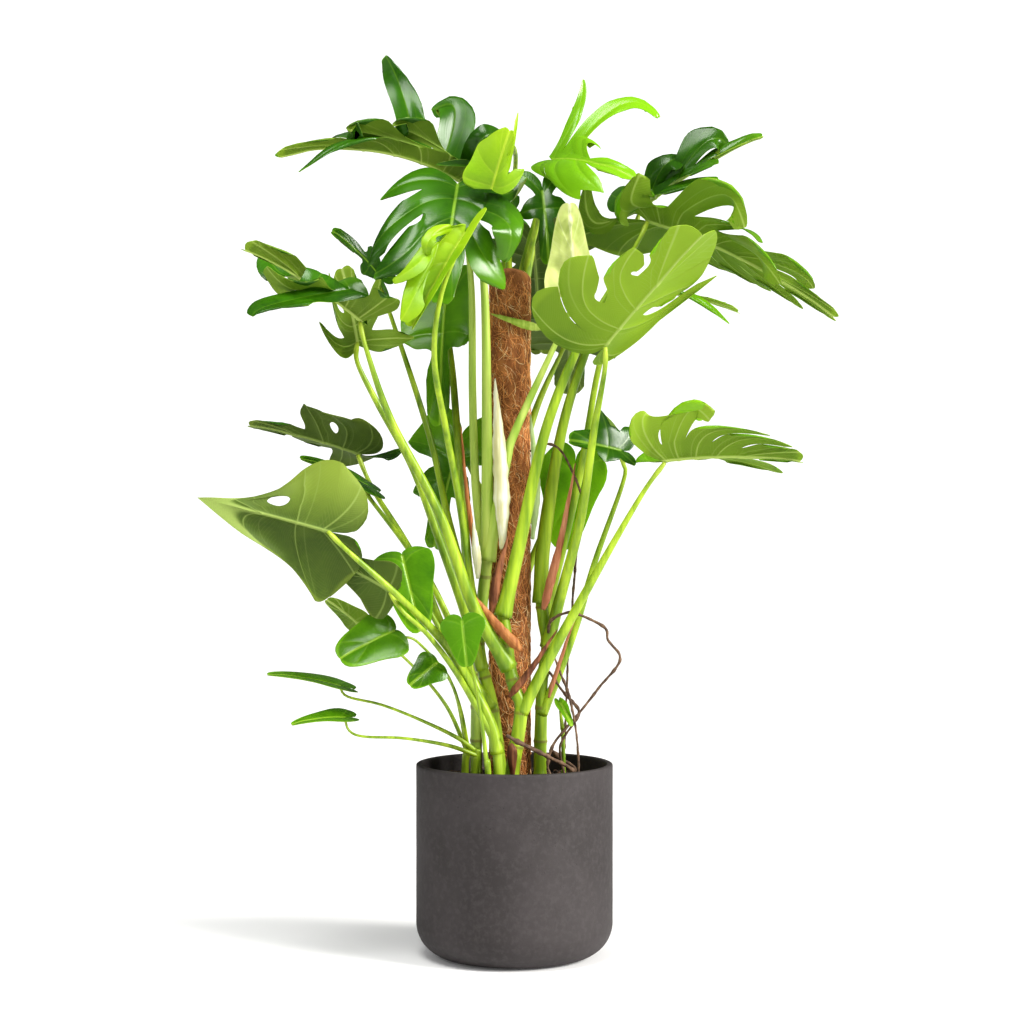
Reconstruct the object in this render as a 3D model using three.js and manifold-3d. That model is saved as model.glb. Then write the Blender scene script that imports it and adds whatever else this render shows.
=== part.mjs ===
// Potted swiss cheese plant: a climbing aroid on a coir pole in a round fibre-clay pot.
// Millimetres, +Z up. The origin is the middle of the pot's flat foot, and -Y is the front.
import * as THREE from "three";
import { mergeVertices } from "three/addons/utils/BufferGeometryUtils.js";
import Module from "manifold-3d";

const wasm = await Module();
wasm.setup();

// Driving dimensions
const CLEAR = 0.35;
const HOLE_ROOM = 2;
const POT_RADIUS = 170;
const POT_SIDES = 36;
const POT_HEIGHT = 330;
const POT_WALL = 11;
const POT_FLOOR = 16;
const POT_CORNER = 58;
const POT_FOOT_RADIUS = 116;
const POT_FOOT_STEP = 3;
const SOIL_TOP = 304;
const STEM_FOOT = 240;
const HOLE_FLOOR = STEM_FOOT - CLEAR;
const POLE = { x: -8, y: 15, radius: 37, bore: 15, bottom: 240, top: 1188, dome: 24 };
const STAKE = { radius: 14.5, bottom: 190, top: 1158 };
const BLADE = 1.6;
const SMALL_BLADE = 1.4;
const STEM_STEP = 50;
const STALK_STEP = 62;
const STALK_SIDES = 5;
const STEM_SIDES = 7;
const HOLE_SIDES = 16;
const SLEEVE_SIDES = 24;
const STAKE_SIDES = 12;
const ROOT_STEP = 34;
const ROOT_DROP = 14;
const STALK_END = 3;
const SEAT_GAP = 0.45;

const COLOUR = {
  clay: 0x554d4c,
  soil: 0x241a14,
  coir: 0x83522a,
  stake: 0x9a7448,
  stem: 0x6f9b2e,
  pale: 0xc9d98a,
  root: 0x5a4034,
  leaf: 0x2f6d1c,
  young: 0x9ac22b,
  cream: 0xdce79a,
};

// Large leaves. at is where the stalk meets the blade and tip is the blade's point. up is the
// side that the upper face looks to. width, fold and curl have one value for each half, the
// right one first, as seen from above with the tip ahead. fold is how far each half rises
// from the midrib and curl how far its margin bends down again, droop is the bend of the
// midrib and twist its turn, all in degrees. cuts names the seams between the lobes from the
// stalk on: c is cut to the margin, h is a closed hole, j is joined; both halves have the same
// number of lobes. tips places the ends of single lobes, and bend is how late the lobes turn
// to them. mids places the middles of single lobes between cut and end, and faces is where the
// upper side of a lobe's end looks to. sinus is the angle from the tip at which the margin
// starts, ears shortens the part behind the stalk, slender narrows the blade to its tip,
// cutFrom is how near the cuts come to the midrib, gap is how wide they stand open, taper how
// much a lobe narrows to its end, and slim the share of its room that each lobe keeps.
const LEAVES = [
  { name: "leaf_crown_left", at: [-90, -40, 1326], tip: [-385, -150, 1350], up: [-0.1, -0.1, 0.97],
    width: [0.9, 1], fold: [45, 50], curl: [15, 25], droop: 45, cuts: ["cccc", "cccc"], seed: 1,
    sinus: 125, cutFrom: 0.24, gap: 0.05, bend: 2,
    slim: [[0.8, 1, 0.72, 0.7, 1], [0.6, 1, 0.9, 0.8, 1]],
    tips: [[[-21, -110, 1416], [-160, 10, 1481], [-237, 0, 1571], [-322, 40, 1413], null], [[-146, -80,
      1352], [-239, -120, 1414], [-308, -150, 1388], [-360, -180, 1317], null]],
    mids: [[[-55, -90, 1386], [-98, 0, 1460], [-191, 10, 1493], null, null], [null, [-179, -100, 1407],
      [-254, -130, 1399], null, null]],
    faces: [[[0, -0.9, 0.4], [0.1, -0.9, 0.4], [0.15, -0.95, 0.2], null, null], [null, [0.25, 0.8,
      0.55], [0.2, 0.75, 0.6], null, null]] },
  { name: "leaf_crown_front", at: [-95, -112, 1312], tip: [-119, -222, 1106], up: [0.05, -0.9, 0.4],
    width: [1.15, 1.05], fold: [10, 8], curl: [40, 30], droop: 30, cuts: ["ccc", "ccc"], seed: 2,
    sinus: 125, gap: 0.05, cutFrom: 0.38, slim: [[1, 1.1, 1, 1], [1, 1.3, 1.1, 1]],
    tips: [[[-225, -130, 1280], [-240, -190, 1162], [-229, -205, 1139], null], [[21, -95, 1324], [-12,
      -200, 1153], [-17, -170, 1128], null]],
    mids: [[null, [-211, -175, 1229], [-180, -198, 1190], null], [[-19, -105, 1299], [-4, -190, 1231],
      [-45, -180, 1183], null]],
    faces: [[null, null, null, null], [null, [0.35, -0.75, 0.55], null, null]] },
  { name: "leaf_young", at: [-80, -262, 1210], tip: [-161, -290, 1059], up: [-0.1, -0.95, 0.3],
    width: [1.1, 0.3], fold: [12, 50], curl: [25, 10], droop: 20, cuts: ["ccc", "jjj"], seed: 3,
    sinus: 150, cutFrom: 0.3, gap: 0.06, bend: 2, tone: "young",
    slim: [[0.62, 0.7, 0.85, 1], [1, 1, 1, 1]],
    tips: [[[-158, -312, 1138], [-203, -305, 1111], [-187, -312, 1042], null], [null, null, null, null]],
    mids: [[[-134, -298, 1198], [-153, -300, 1159], [-164, -302, 1101], null], [null, null, null, null]],
    faces: [[[-0.3, -0.9, 0.35], [-0.2, -0.95, 0.2], [-0.2, -0.95, 0.1], null], [null, null, null,
      null]] },
  { name: "leaf_left_front", at: [-250, -180, 1075], tip: [-432, -250, 1182], up: [-0.3, 0.1, 0.95],
    width: [1.4, 1.45], fold: [30, 40], curl: [15, 20], droop: 20, cuts: ["ccc", "ccc"], seed: 4,
    sinus: 115, gap: 0.05, bend: 2.2,
    tips: [[[-298, -120, 1183], [-381, -125, 1176], [-410, -160, 1202], null], [[-221, -225, 1109],
      [-454, -320, 1059], [-420, -285, 1148], null]],
    mids: [[[-270, -140, 1135], [-328, -150, 1140], [-382, -170, 1158], null], [null, [-370, -285,
      1095], [-343, -262, 1121], null]],
    faces: [[[-0.2, -0.6, 0.75], [0.1, -0.7, 0.7], [0.3, -0.8, 0.5], null], [null, [0, -0.5, 0.85],
      [0.1, 0.5, 0.85], null]] },
  { name: "leaf_left_rear", at: [-262, -100, 1042], tip: [-296, -20, 1180], up: [0.1, 0.9, 0.3],
    width: [1, 1], fold: [10, 6], curl: [10, 15], droop: 8, cuts: ["cc", "cc"], seed: 5, sinus: 120,
    tips: [[[-329, -100, 1089], [-318, -20, 1180], null], [[-167, -100, 1059], [-232, -40, 1174], null]] },
  { name: "leaf_left_slim", at: [-240, 85, 1180], tip: [-318, 40, 1252], up: [-0.2, -0.6, 0.7],
    width: [0.8, 0.8], fold: [20, 20], curl: [20, 20], droop: 25, cuts: ["cc", "cc"], seed: 6 },
  { name: "leaf_low_left", at: [-298, -236, 731], tip: [-504, -290, 786], up: [-0.1, 0.97, 0.2],
    width: [1.12, 1.12], fold: [42, 4], curl: [25, 25], droop: 14, cuts: ["jj", "jh"], seed: 7,
    slender: 1.05, sinus: 160, gap: 0.11,
    tips: [[[-277, -190, 685], [-341, -190, 632], [-395, -230, 698]], [[-265, -215, 804], [-354, -225,
      829], [-423, -262, 784]]] },
  { name: "leaf_low_olive", at: [-199, -192, 630], tip: [-300, -165, 684], up: [0.1, 0.9, 0.35],
    width: [0.9, 0.75], fold: [10, 10], curl: [20, 20], droop: 15, cuts: ["j", "j"], seed: 8,
    sinus: 130, ears: 0.35, slender: 0.4 },
  { name: "leaf_low_heart", at: [-186, -150, 690], tip: [-156, -158, 566], up: [0.1, -1, 0.1],
    width: [0.72, 0.72], fold: [10, 8], curl: [18, 18], droop: 8, cuts: ["j", "j"], seed: 9,
    ears: 0.35 },
  { name: "leaf_mid_left", at: [-270, 40, 864], tip: [-456, 5, 912], up: [-0.1, 0.45, 0.88],
    width: [0.75, 0.9], fold: [15, 30], curl: [20, 10], droop: 12, cuts: ["jcc", "jhc"], seed: 10,
    sinus: 150, slender: 0.4, tips: [[[-190, 60, 892], null, null, null],
      [[-262, -14, 928], [-330, -20, 920], null, null]] },
  { name: "leaf_mid_slim", at: [-253, -20, 809], tip: [-362, -62, 853], up: [0.25, -0.2, 0.95],
    width: [0.75, 0.7], fold: [12, 5], curl: [25, 25], droop: 18, cuts: ["j", "j"], seed: 11 },
  { name: "leaf_rear_left", at: [-98, 108, 886], tip: [-142, 100, 702], up: [-0.25, -0.85, 0.3],
    width: [0.95, 0.8], fold: [10, 10], curl: [30, 20], droop: 20, cuts: ["jcc", "jcc"], seed: 12 },
  { name: "leaf_rear_right", at: [107, 95, 846], tip: [86, 80, 700], up: [-0.1, -1, 0.1],
    width: [0.75, 0.7], fold: [8, 8], curl: [15, 15], droop: 10, cuts: ["j", "j"], seed: 13 },
  { name: "leaf_back_hanging", at: [-122, 58, 1128], tip: [-128, 0, 915], up: [-0.3, -0.9, 0.2],
    width: [0.65, 0.5], fold: [6, 12], curl: [25, 10], droop: 14, cuts: ["jc", "jc"], seed: 14 },
  { name: "leaf_behind_pole", at: [34, 142, 1244], tip: [50, 300, 1062], up: [0, 0.6, 0.8],
    width: [0.95, 0.95], fold: [15, 15], curl: [30, 30], droop: 25, cuts: ["ccc", "ccc"], seed: 15 },
  { name: "leaf_rear_mid", at: [98, 146, 1083], tip: [102, 300, 985], up: [0.1, 0.5, 0.85],
    width: [0.95, 0.95], fold: [15, 15], curl: [30, 30], droop: 20, cuts: ["jc", "jc"], seed: 16 },
  { name: "leaf_right", at: [247, -130, 848], tip: [468, -170, 846], up: [0, 0.35, 0.9],
    width: [1.2, 0.7], fold: [52, 15], curl: [25, 20], droop: 16, cuts: ["hccc", "cccc"], seed: 17,
    sinus: 150, gap: 0.08, bend: 2, cutFrom: 0.26, slim: [[1, 1.1, 1.1, 1, 1], [0.7, 0.8, 1, 1, 1]],
    tips: [[[224, -200, 950], [331, -205, 909], [420, -195, 887], [458, -185, 868], null], [[233, -60,
      872], [318, -20, 887], [383, -60, 865], [452, -105, 828], null]],
    mids: [[[206, -175, 904], [286, -200, 933], null, null, null], [null, null, null, null, null]],
    faces: [[[-0.4, 0.85, 0.3], [0.2, 0.8, 0.55], null, null, null], [null, null, null, null, null]] },
  { name: "leaf_right_dark", at: [180, -52, 868], tip: [93, -78, 884], up: [0.15, -0.85, 0.5],
    width: [1.3, 0.7], fold: [12, 8], curl: [25, 20], droop: 14, cuts: ["cc", "cc"], seed: 18,
    cutFrom: 0.55, gap: 0.06,
    tips: [[null, [141, -70, 937], null], [null, null, null]] },
  { name: "leaf_top_bright", at: [64, -4, 1371], tip: [195, -120, 1322], up: [0.1, -0.75, 0.65],
    width: [0.95, 0.85], fold: [12, 12], curl: [30, 20], droop: 30, cuts: ["jjc", "ccc"], seed: 19,
    tone: "young", sinus: 140, cutFrom: 0.16, gap: 0.06, slim: [[0.9, 1, 1, 1], [0.45, 0.8, 0.8, 1]],
    tips: [[[67, -50, 1335], [103, -95, 1297], [146, -125, 1298], null], [[137, 0, 1543], [275, -10,
      1455], [145, -60, 1384], null]],
    mids: [[null, null, null, null], [[106, 5, 1454], [182, 5, 1468], [116, -30, 1403], null]],
    faces: [[null, null, null, null], [[0.4, -0.9, 0.1], [0, -0.8, 0.6], null, null]] },
  { name: "leaf_top_dark", at: [48, -30, 1312], tip: [58, -56, 1186], up: [0.1, -0.85, 0.5],
    width: [0.7, 0.8], fold: [10, 10], curl: [25, 25], droop: 20, cuts: ["cc", "cc"], seed: 20 },
  { name: "leaf_top_rear", at: [-8, 0, 1310], tip: [-76, -26, 1266], up: [-0.1, -0.7, 0.7],
    width: [0.8, 0.8], fold: [10, 10], curl: [30, 30], droop: 20, cuts: ["c", "c"], seed: 21, sinus: 115 },
  { name: "leaf_top_yellow", at: [-38, -156, 1296], tip: [-8, -178, 1388], up: [-0.15, -0.95, 0.1],
    width: [1.15, 1.3], fold: [26, 10], curl: [20, 35], droop: 14, cuts: ["cc", "jj"], seed: 22,
    sinus: 105, gap: 0.05, cutFrom: 0.45, ears: 0.6, tone: "young", slim: [[1.1, 1.2, 1.1], [1, 1, 1]],
    tips: [[[16, -150, 1332], [6, -150, 1425], null], [[-83, -172, 1312], null, null]],
    mids: [[null, [-1, -160, 1373], null], [null, null, null]] },
  { name: "leaf_upper_right", at: [223, -60, 1258], tip: [536, -80, 1094], up: [0.28, 0.72, 0.6],
    width: [0.85, 0.55], fold: [20, 12], curl: [30, 15], droop: 36, cuts: ["cccccc", "jjcccc"],
    seed: 23, sinus: 140, cutFrom: 0.24, gap: 0.05, bend: 2,
    slim: [[0.9, 1.7, 1.5, 0.9, 0.9, 0.8, 1], [1, 1, 1, 1, 1, 1, 1]],
    tips: [[[111, -70, 1298], [209, -120, 1327], [406, -190, 1219], [419, -150, 1195], [455, -170,
      1118], [513, -120, 1120], null], [null, null, [321, 10, 1213], [393, 0, 1170], [443, -10, 1142],
      [494, -40, 1109], null]],
    mids: [[[135, -65, 1251], [191, -92, 1281], [347, -150, 1292], [372, -110, 1242], [407, -140,
      1188], [474, -110, 1166], null], [null, null, null, null, null, null, null]],
    faces: [[[-0.1, 0.9, 0.4], [-0.1, 0.9, 0.4], [0.15, 0.65, 0.75], [0.3, -0.1, 0.95], [0.3, 0.6,
      0.7], [0.3, 0.6, 0.7], null], [null, null, null, null, null, null, null]] },
  { name: "leaf_upper_right_rear", at: [216, 86, 1292], tip: [430, 50, 1416], up: [-0.45, -0.1, 0.9],
    width: [0.8, 1], fold: [15, 45], curl: [20, 30], droop: 18, cuts: ["ccc", "ccc"], seed: 24,
    sinus: 120, gap: 0.06, cutFrom: 0.2, bend: 2,
    tips: [[null, [373, 10, 1345], [373, 25, 1375], null], [null, [317, 80, 1403], [403, 60, 1421],
      null]],
    mids: [[null, null, null, null], [null, [264, 85, 1378], [340, 70, 1421], null]],
    faces: [[null, [0.1, -0.5, 0.85], [0.1, -0.5, 0.85], null], [null, [-0.5, -0.8, 0.3], [-0.3, -0.9,
      0.3], null]] },
  { name: "leaf_front", at: [148, -150, 1036], tip: [297, -300, 1200], up: [-0.15, 0.75, 0.6],
    width: [1.2, 0.85], fold: [2, 40], curl: [12, 10], droop: 8, cuts: ["jcc", "jcj"], seed: 25,
    sinus: 160, cutFrom: 0.32, slender: -0.3, tone: "young", gap: 0.26, taper: 0,
    slim: [[1, 0.92, 0.86, 0.74], [1, 1, 1, 1.1]],
    tips: [[[17, -205, 1113], [127, -262, 1176], [207, -292, 1199], null], [[189, -110, 1040], [328,
      -170, 1149], null, null]],
    faces: [[null, [-0.1, 0.95, 0.3], [-0.1, 0.95, 0.3], null], [null, null, null, null]] },
  { name: "leaf_front_under", at: [213, -60, 1140], tip: [369, -130, 1096], up: [0.2, 0.3, 0.92],
    width: [0.8, 0.85], fold: [15, 20], curl: [20, 20], droop: 20, cuts: ["ccc", "ccc"], seed: 26,
    sinus: 140, tips: [[null, null, [360, -155, 1071], null],
      [null, [311, -60, 1164], [360, -90, 1115], null]] },
  { name: "leaf_cream", at: [103, -72, 1140], tip: [92, -98, 1280], up: [-0.3, 0.9, 0.1],
    width: [0.62, 0.56], fold: [28, 32], curl: [35, 30], droop: 8, twist: 20, cuts: ["j", "j"],
    seed: 27, ears: 0.3, tone: "cream" },
];

// Small heart-shaped leaves that grow in groups from short shoots in the soil
const SHOOTS = [
  { name: "shoot_trailing", foot: [-66, -66], path: [[-62, -70, 362]], radii: [7, 6],
    leaves: [
      { at: [-284, -120, 420], tip: [-368, -150, 411], up: [-0.1, -0.3, 0.95], width: [0.55, 0.55],
        fold: [20, 10], curl: [20, 20], droop: 20, cuts: ["j", "j"], seed: 41, slender: 0.4,
        stalk: [[-62, -70, 350], [-112, -90, 370], [-185, -108, 384], [-252, -118, 388], [-276, -120, 398]] },
      { at: [-294, -105, 472], tip: [-410, -130, 492], up: [0, -0.2, 0.98], width: [0.5, 0.5],
        fold: [10, 10], curl: [20, 20], droop: 15, cuts: ["j", "j"], seed: 42,
        stalk: [[-62, -68, 356], [-100, -82, 384], [-164, -96, 416], [-224, -104, 440], [-280, -108, 454]] },
    ] },
  { name: "shoot_hearts", foot: [-84, -40], path: [[-80, -44, 366]], radii: [7, 6],
    leaves: [
      { at: [-200, -150, 566], tip: [-286, -178, 522], up: [-0.1, -0.75, 0.65], width: [0.92, 0.92],
        fold: [8, 8], curl: [15, 15], droop: 12, cuts: ["j", "j"], seed: 43, ears: 0.4, slender: -0.1,
        stalk: [[-80, -46, 354], [-104, -90, 470], [-160, -126, 545], [-190, -140, 556]] },
      { at: [-262, -80, 572], tip: [-315, -100, 615], up: [-0.1, 0.5, 0.85], width: [0.75, 0.75],
        fold: [15, 15], curl: [15, 15], droop: 12, cuts: ["j", "j"], seed: 44, ears: 0.5,
        stalk: [[-82, -42, 358], [-120, -60, 440], [-190, -76, 520], [-250, -82, 560]] },
      { at: [-130, -150, 512], tip: [-172, -172, 478], up: [0.1, -0.85, 0.4], width: [0.95, 0.95],
        fold: [8, 8], curl: [25, 25], droop: 20, cuts: ["j", "j"], seed: 45, ears: 0.5,
        stalk: [[-78, -50, 352], [-90, -100, 430], [-108, -134, 486], [-122, -142, 504]] },
    ] },
  { name: "shoot_glossy", foot: [-44, -138], path: [[-46, -140, 352]], radii: [6, 5],
    leaves: [
      { at: [-86, -190, 584], tip: [-78, -206, 512], up: [0, -1, 0.15], width: [0.9, 0.9],
        fold: [8, 8], curl: [20, 20], droop: 12, cuts: ["j", "j"], seed: 46, ears: 0.7, slender: 0.3,
        stalk: [[-46, -140, 345], [-58, -156, 440], [-78, -172, 546], [-86, -184, 580]] },
    ] },
  { name: "shoot_right", foot: [84, -34], path: [[82, -40, 400]], radii: [4, 3],
    leaves: [
      { at: [78, -62, 438], tip: [96, -84, 402], up: [0.5, -0.8, 0.2], width: [0.45, 0.45],
        fold: [10, 10], curl: [15, 15], droop: 12, cuts: ["j", "j"], seed: 47,
        stalk: [[82, -40, 392], [78, -50, 425]] },
    ] },
];

// Aerial roots, from where they leave a stem or the pole to where they meet the soil
const ROOTS = [
  { name: "root_loop", radii: [2.6, 2.4, 2.2], path: [[58, -24, 556], [62, -36, 577], [84, -50, 590],
    [106, -62, 590], [152, -70, 568], [159, -70, 545], [178, -72, 521], [172, -72, 500], [144, -66, 466],
    [108, -62, 420], [68, -64, 372], [56, -66, 335]], end: [60, -68] },
  { name: "root_mid", radii: [2.4, 2.2], path: [[60, -14, 488], [84, -44, 455], [108, -52, 428],
    [104, -52, 408], [78, -46, 365]], end: [84, -44] },
  { name: "root_long", radii: [2.2, 1.8], path: [[27, -3.5, 868], [58, -20, 880], [82, -30, 864],
    [108, -32, 811], [116, -28, 773], [107, -20, 697], [100, -2, 607], [94, 10, 528], [90, 10, 440],
    [86, 8, 350]], end: [84, 8] },
  { name: "root_tan", radii: [2, 2], path: [[66, -16, 520], [78, -40, 490], [94, -72, 445], [104, -78, 390],
    [108, -78, 340]], end: [108, -78] },
  { name: "root_thick", radii: [3.4, 3.2, 2.8], path: [[-14, -134, 392], [2, -130, 382], [40, -116, 362],
    [92, -104, 334]], end: [100, -98] },
  { name: "root_surface", radii: [2.6, 2.2], path: [[62, 16, 350], [86, 34, 330]], end: [104, 46] },
];

// How deep the cuts go and how wide they stand open
const CUT_FROM = 0.3;
const CUT_GAP = 0.19;
const CUT_ROW = 0.5;
const LOBE_SPREAD = 0.1;
const LOBE_RISE = 0.12;
const LOBE_TIP = 0.62;
const LOBE_PEAK = 0.35;
const LOBE_POINT = 1.35;
const CUT_BACK = [0.42, 0.16];
const TAPER = 0.16;
const CUT_POWER = 4;
const CUT_CLOSE = 0.3;
const JOINED = { h: 0.93, j: 0.97, m: 1 };
const BEND_POWER = 1.9;
const EAR_HOLD = 0.45;
const TURN_END = 0.6;
const TURN_POWER = 1.5;
const LEVEL_STEP = 0.01;
const MIDRIB_SHARE = 0.64;
const VEIN_POWER = 1.45;
const HEART = [0.585, 0.24, 0.035, 0.09, 0, 0.05];
const SINUS_ANGLE = 168;
const SLENDER = 0.2;
const VEIN_BOW = 0.22;
const HOLE_END = 0.74;
const ROWS = [0, CUT_ROW, 0.78, 1];
const HOLED_ROWS = [0, CUT_ROW, 0.62, HOLE_END, 1];
const COLUMNS = [-1, 0, 1];

const vector = ([x, y, z]) => new THREE.Vector3(x, y, z);
const radians = (degrees) => (degrees * Math.PI) / 180;

// The same small pseudo-random share from 0 to 1 for the same number
function share(number) {
  const value = Math.sin(number * 12.9898) * 43758.5453;
  return value - Math.floor(value);
}

// The blade's own axes at the stalk: along the midrib, across it and up, and its length
function bladeFrame(leaf) {
  const at = vector(leaf.at);
  const chord = vector(leaf.tip).sub(at);
  const bend = radians(leaf.droop) || 1e-6;
  const length = (chord.length() * bend) / (2 * Math.sin(bend / 2));
  chord.normalize();
  const up = vector(leaf.up);
  up.addScaledVector(chord, -up.dot(chord)).normalize();
  const along = chord.clone().multiplyScalar(Math.cos(bend / 2)).addScaledVector(up, Math.sin(bend / 2));
  const over = up.clone().multiplyScalar(Math.cos(bend / 2)).addScaledVector(chord, -Math.sin(bend / 2));
  const across = new THREE.Vector3().crossVectors(along, over);
  return { at, along, over, across, length, bend };
}

// Flat outline of a heart-shaped blade: distance from the stalk at an angle from the tip
function outline(angle) {
  return HEART.reduce((sum, size, turns) => sum + size * Math.cos(turns * angle), 0);
}

// Flat place on a half blade of unit length. q runs from the sinus to the tip, one unit for
// each lobe, and u runs out along the side veins from the midrib to the margin.
function flatPoint(leaf, q, count, u) {
  const part = q / count;
  const start = MIDRIB_SHARE * part ** VEIN_POWER;
  const angle = radians(leaf.sinus || SINUS_ANGLE) * Math.max(0, 1 - part) ** VEIN_POWER;
  const endX = outline(angle) * Math.cos(angle);
  const endY = outline(angle) * Math.sin(angle);
  const bow = VEIN_BOW * (1 - part ** 3);
  const reachX = (endX - start) / 2;
  const reachY = endY / 2;
  const bendX = start + reachX * Math.cos(bow) - reachY * Math.sin(bow);
  const bendY = reachX * Math.sin(bow) + reachY * Math.cos(bow);
  const v = 1 - u;
  const x = v * v * start + 2 * u * v * bendX + u * u * endX;
  const narrow = 1 - (leaf.slender || SLENDER) * Math.max(0, x);
  return [x < 0 ? x * (leaf.ears || 1) : x, (2 * u * v * bendY + u * u * endY) * narrow];
}

// How far out a lobe reaches at w, from -1 on its stalk side to 1 on its tip side
function lobeReach(w, before, after) {
  const cut = (s) => {
    const past = (s - LOBE_PEAK) / (s < LOBE_PEAK ? 1 + LOBE_PEAK : 1 - LOBE_PEAK);
    return 1 - CUT_BACK[s < LOBE_PEAK ? 0 : 1] * Math.abs(past) ** LOBE_POINT;
  };
  let reach = cut(w);
  if (JOINED[before]) reach += (JOINED[before] - cut(-1)) * ((1 - w) / 2) ** 2;
  if (JOINED[after]) reach += (JOINED[after] - cut(1)) * ((1 + w) / 2) ** 2;
  return reach;
}

// A flat place x along and y out from the midrib, laid on the bent and folded blade, with the
// directions that lead outward and upward there
function laidOut(leaf, frame, side, x, y) {
  const { at, along, over, across, length, bend } = frame;
  const turn = bend * x;
  const roll = radians(leaf.twist || 0) * x;
  const upright = over.clone().multiplyScalar(Math.cos(turn)).addScaledVector(along, Math.sin(turn));
  const outward = across.clone().multiplyScalar(Math.cos(roll)).addScaledVector(upright, Math.sin(roll));
  const upward = upright.multiplyScalar(Math.cos(roll)).addScaledVector(across, -Math.sin(roll));
  outward.multiplyScalar(side === 0 ? 1 : -1);
  const fold = radians(leaf.fold[side]);
  const curl = radians(leaf.curl[side]) / (0.5 * length);
  const slope = fold - curl * y * length * leaf.width[side];
  const place = at.clone()
    .addScaledVector(along, (length * Math.sin(turn)) / bend)
    .addScaledVector(over, (-length * (1 - Math.cos(turn))) / bend)
    .addScaledVector(outward, (Math.sin(fold) - Math.sin(slope)) / curl)
    .addScaledVector(upward, (Math.cos(slope) - Math.cos(fold)) / curl);
  return { place, outward, upward, slope };
}

// How far the end of a lobe lies from its place on the evenly bent blade
function lobeShift(leaf, frame, side, lobe) {
  const seams = leaf.cuts[side];
  const count = seams.length + 1;
  if (leaf.tips && leaf.tips[side][lobe]) {
    const end = laidOut(leaf, frame, side, ...flatPoint(leaf, lobe + LOBE_TIP, count, 1)).place;
    return vector(leaf.tips[side][lobe]).sub(end);
  }
  if (!seams.includes("c") || lobe === count - 1) return new THREE.Vector3();
  const rise = LOBE_RISE * (2 * share(leaf.seed * 31 + side * 17 + lobe * 5 + 2) - 1);
  const { upward } = laidOut(leaf, frame, side, ...flatPoint(leaf, lobe + LOBE_TIP, count, 1));
  return upward.multiplyScalar(rise * frame.length);
}

// How far past the cuts a row lies, from 0 at their inner end to 1 at the margin
const pastCut = (row) => Math.max(0, (row - CUT_ROW) / (1 - CUT_ROW));

// A place on the blade bent to the tips of its lobes, evenly across the joined part, and each
// lobe on its own past the cuts, with how far the same place lies from the lobe's middle line
function bentPoint(leaf, frame, side, lobe, w, row) {
  const seams = leaf.cuts[side];
  const count = seams.length + 1;
  const before = lobe > 0 ? seams[lobe - 1] : "c";
  const after = lobe < count - 1 ? seams[lobe] : "m";
  const shorter = 1 - LOBE_SPREAD * share(leaf.seed * 31 + side * 17 + lobe * 5) * (1 - w * w);
  const isPlaced = after === "m" || (leaf.tips && leaf.tips[side][lobe]);
  const reach = lobeReach(w, before, after) * (isPlaced ? 1 : shorter);
  const from = leaf.cutFrom || CUT_FROM;
  const out = pastCut(row);
  const u = row <= CUT_ROW ? (from * row) / CUT_ROW : from + (reach - from) * out;
  const isFree = (seam) => seam === "c" || (seam === "h" && row < HOLE_END);
  const gap = leaf.gap || CUT_GAP;
  let open = gap * (1 - (1 - out) ** CUT_POWER) * (1 - CUT_CLOSE * out);
  open += (leaf.taper ?? TAPER) * out ** 3;
  if (w < 0 && !isFree(before)) open = 0;
  if (w < 0 && lobe === 0) open = (leaf.taper ?? TAPER) * out ** 3;
  if (w > 0 && !isFree(after)) open = 0;
  const full = leaf.slim ? leaf.slim[side][lobe] : 1;
  const isOnMidrib = lobe === count - 1 && w > 0;
  const kept = isOnMidrib ? Math.max(1, full) : lobe === 0 && w < 0 ? Math.min(1, full) : full;
  const slim = 1 - (1 - kept) * (1 - (1 - out) ** 3);
  const [x, y] = flatPoint(leaf, lobe + 0.5 + w * (0.5 - open) * slim, count, u);
  const { place } = laidOut(leaf, frame, side, x, y);
  const middle = laidOut(leaf, frame, side, ...flatPoint(leaf, lobe + 0.5, count, u)).place;
  const beside = place.distanceTo(middle);
  const own = lobeShift(leaf, frame, side, lobe);
  const shift = own.clone();
  const near = ((1 - w) / 2) ** 2;
  const far = ((1 + w) / 2) ** 2;
  if (lobe > 0) {
    const meet = lobeShift(leaf, frame, side, lobe - 1).add(own).multiplyScalar(0.5);
    shift.lerp(meet, before === "c" ? near * (1 - out) : near);
  }
  if (after === "m") shift.multiplyScalar(1 - far);
  else {
    const meet = lobeShift(leaf, frame, side, lobe + 1).add(own).multiplyScalar(0.5);
    shift.lerp(meet, after === "c" ? far * (1 - out) : far);
  }
  if (lobe === 0) shift.multiplyScalar(1 - EAR_HOLD * near);
  return { place: place.addScaledVector(shift, u ** (leaf.bend || BEND_POWER)), beside, u };
}

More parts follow.
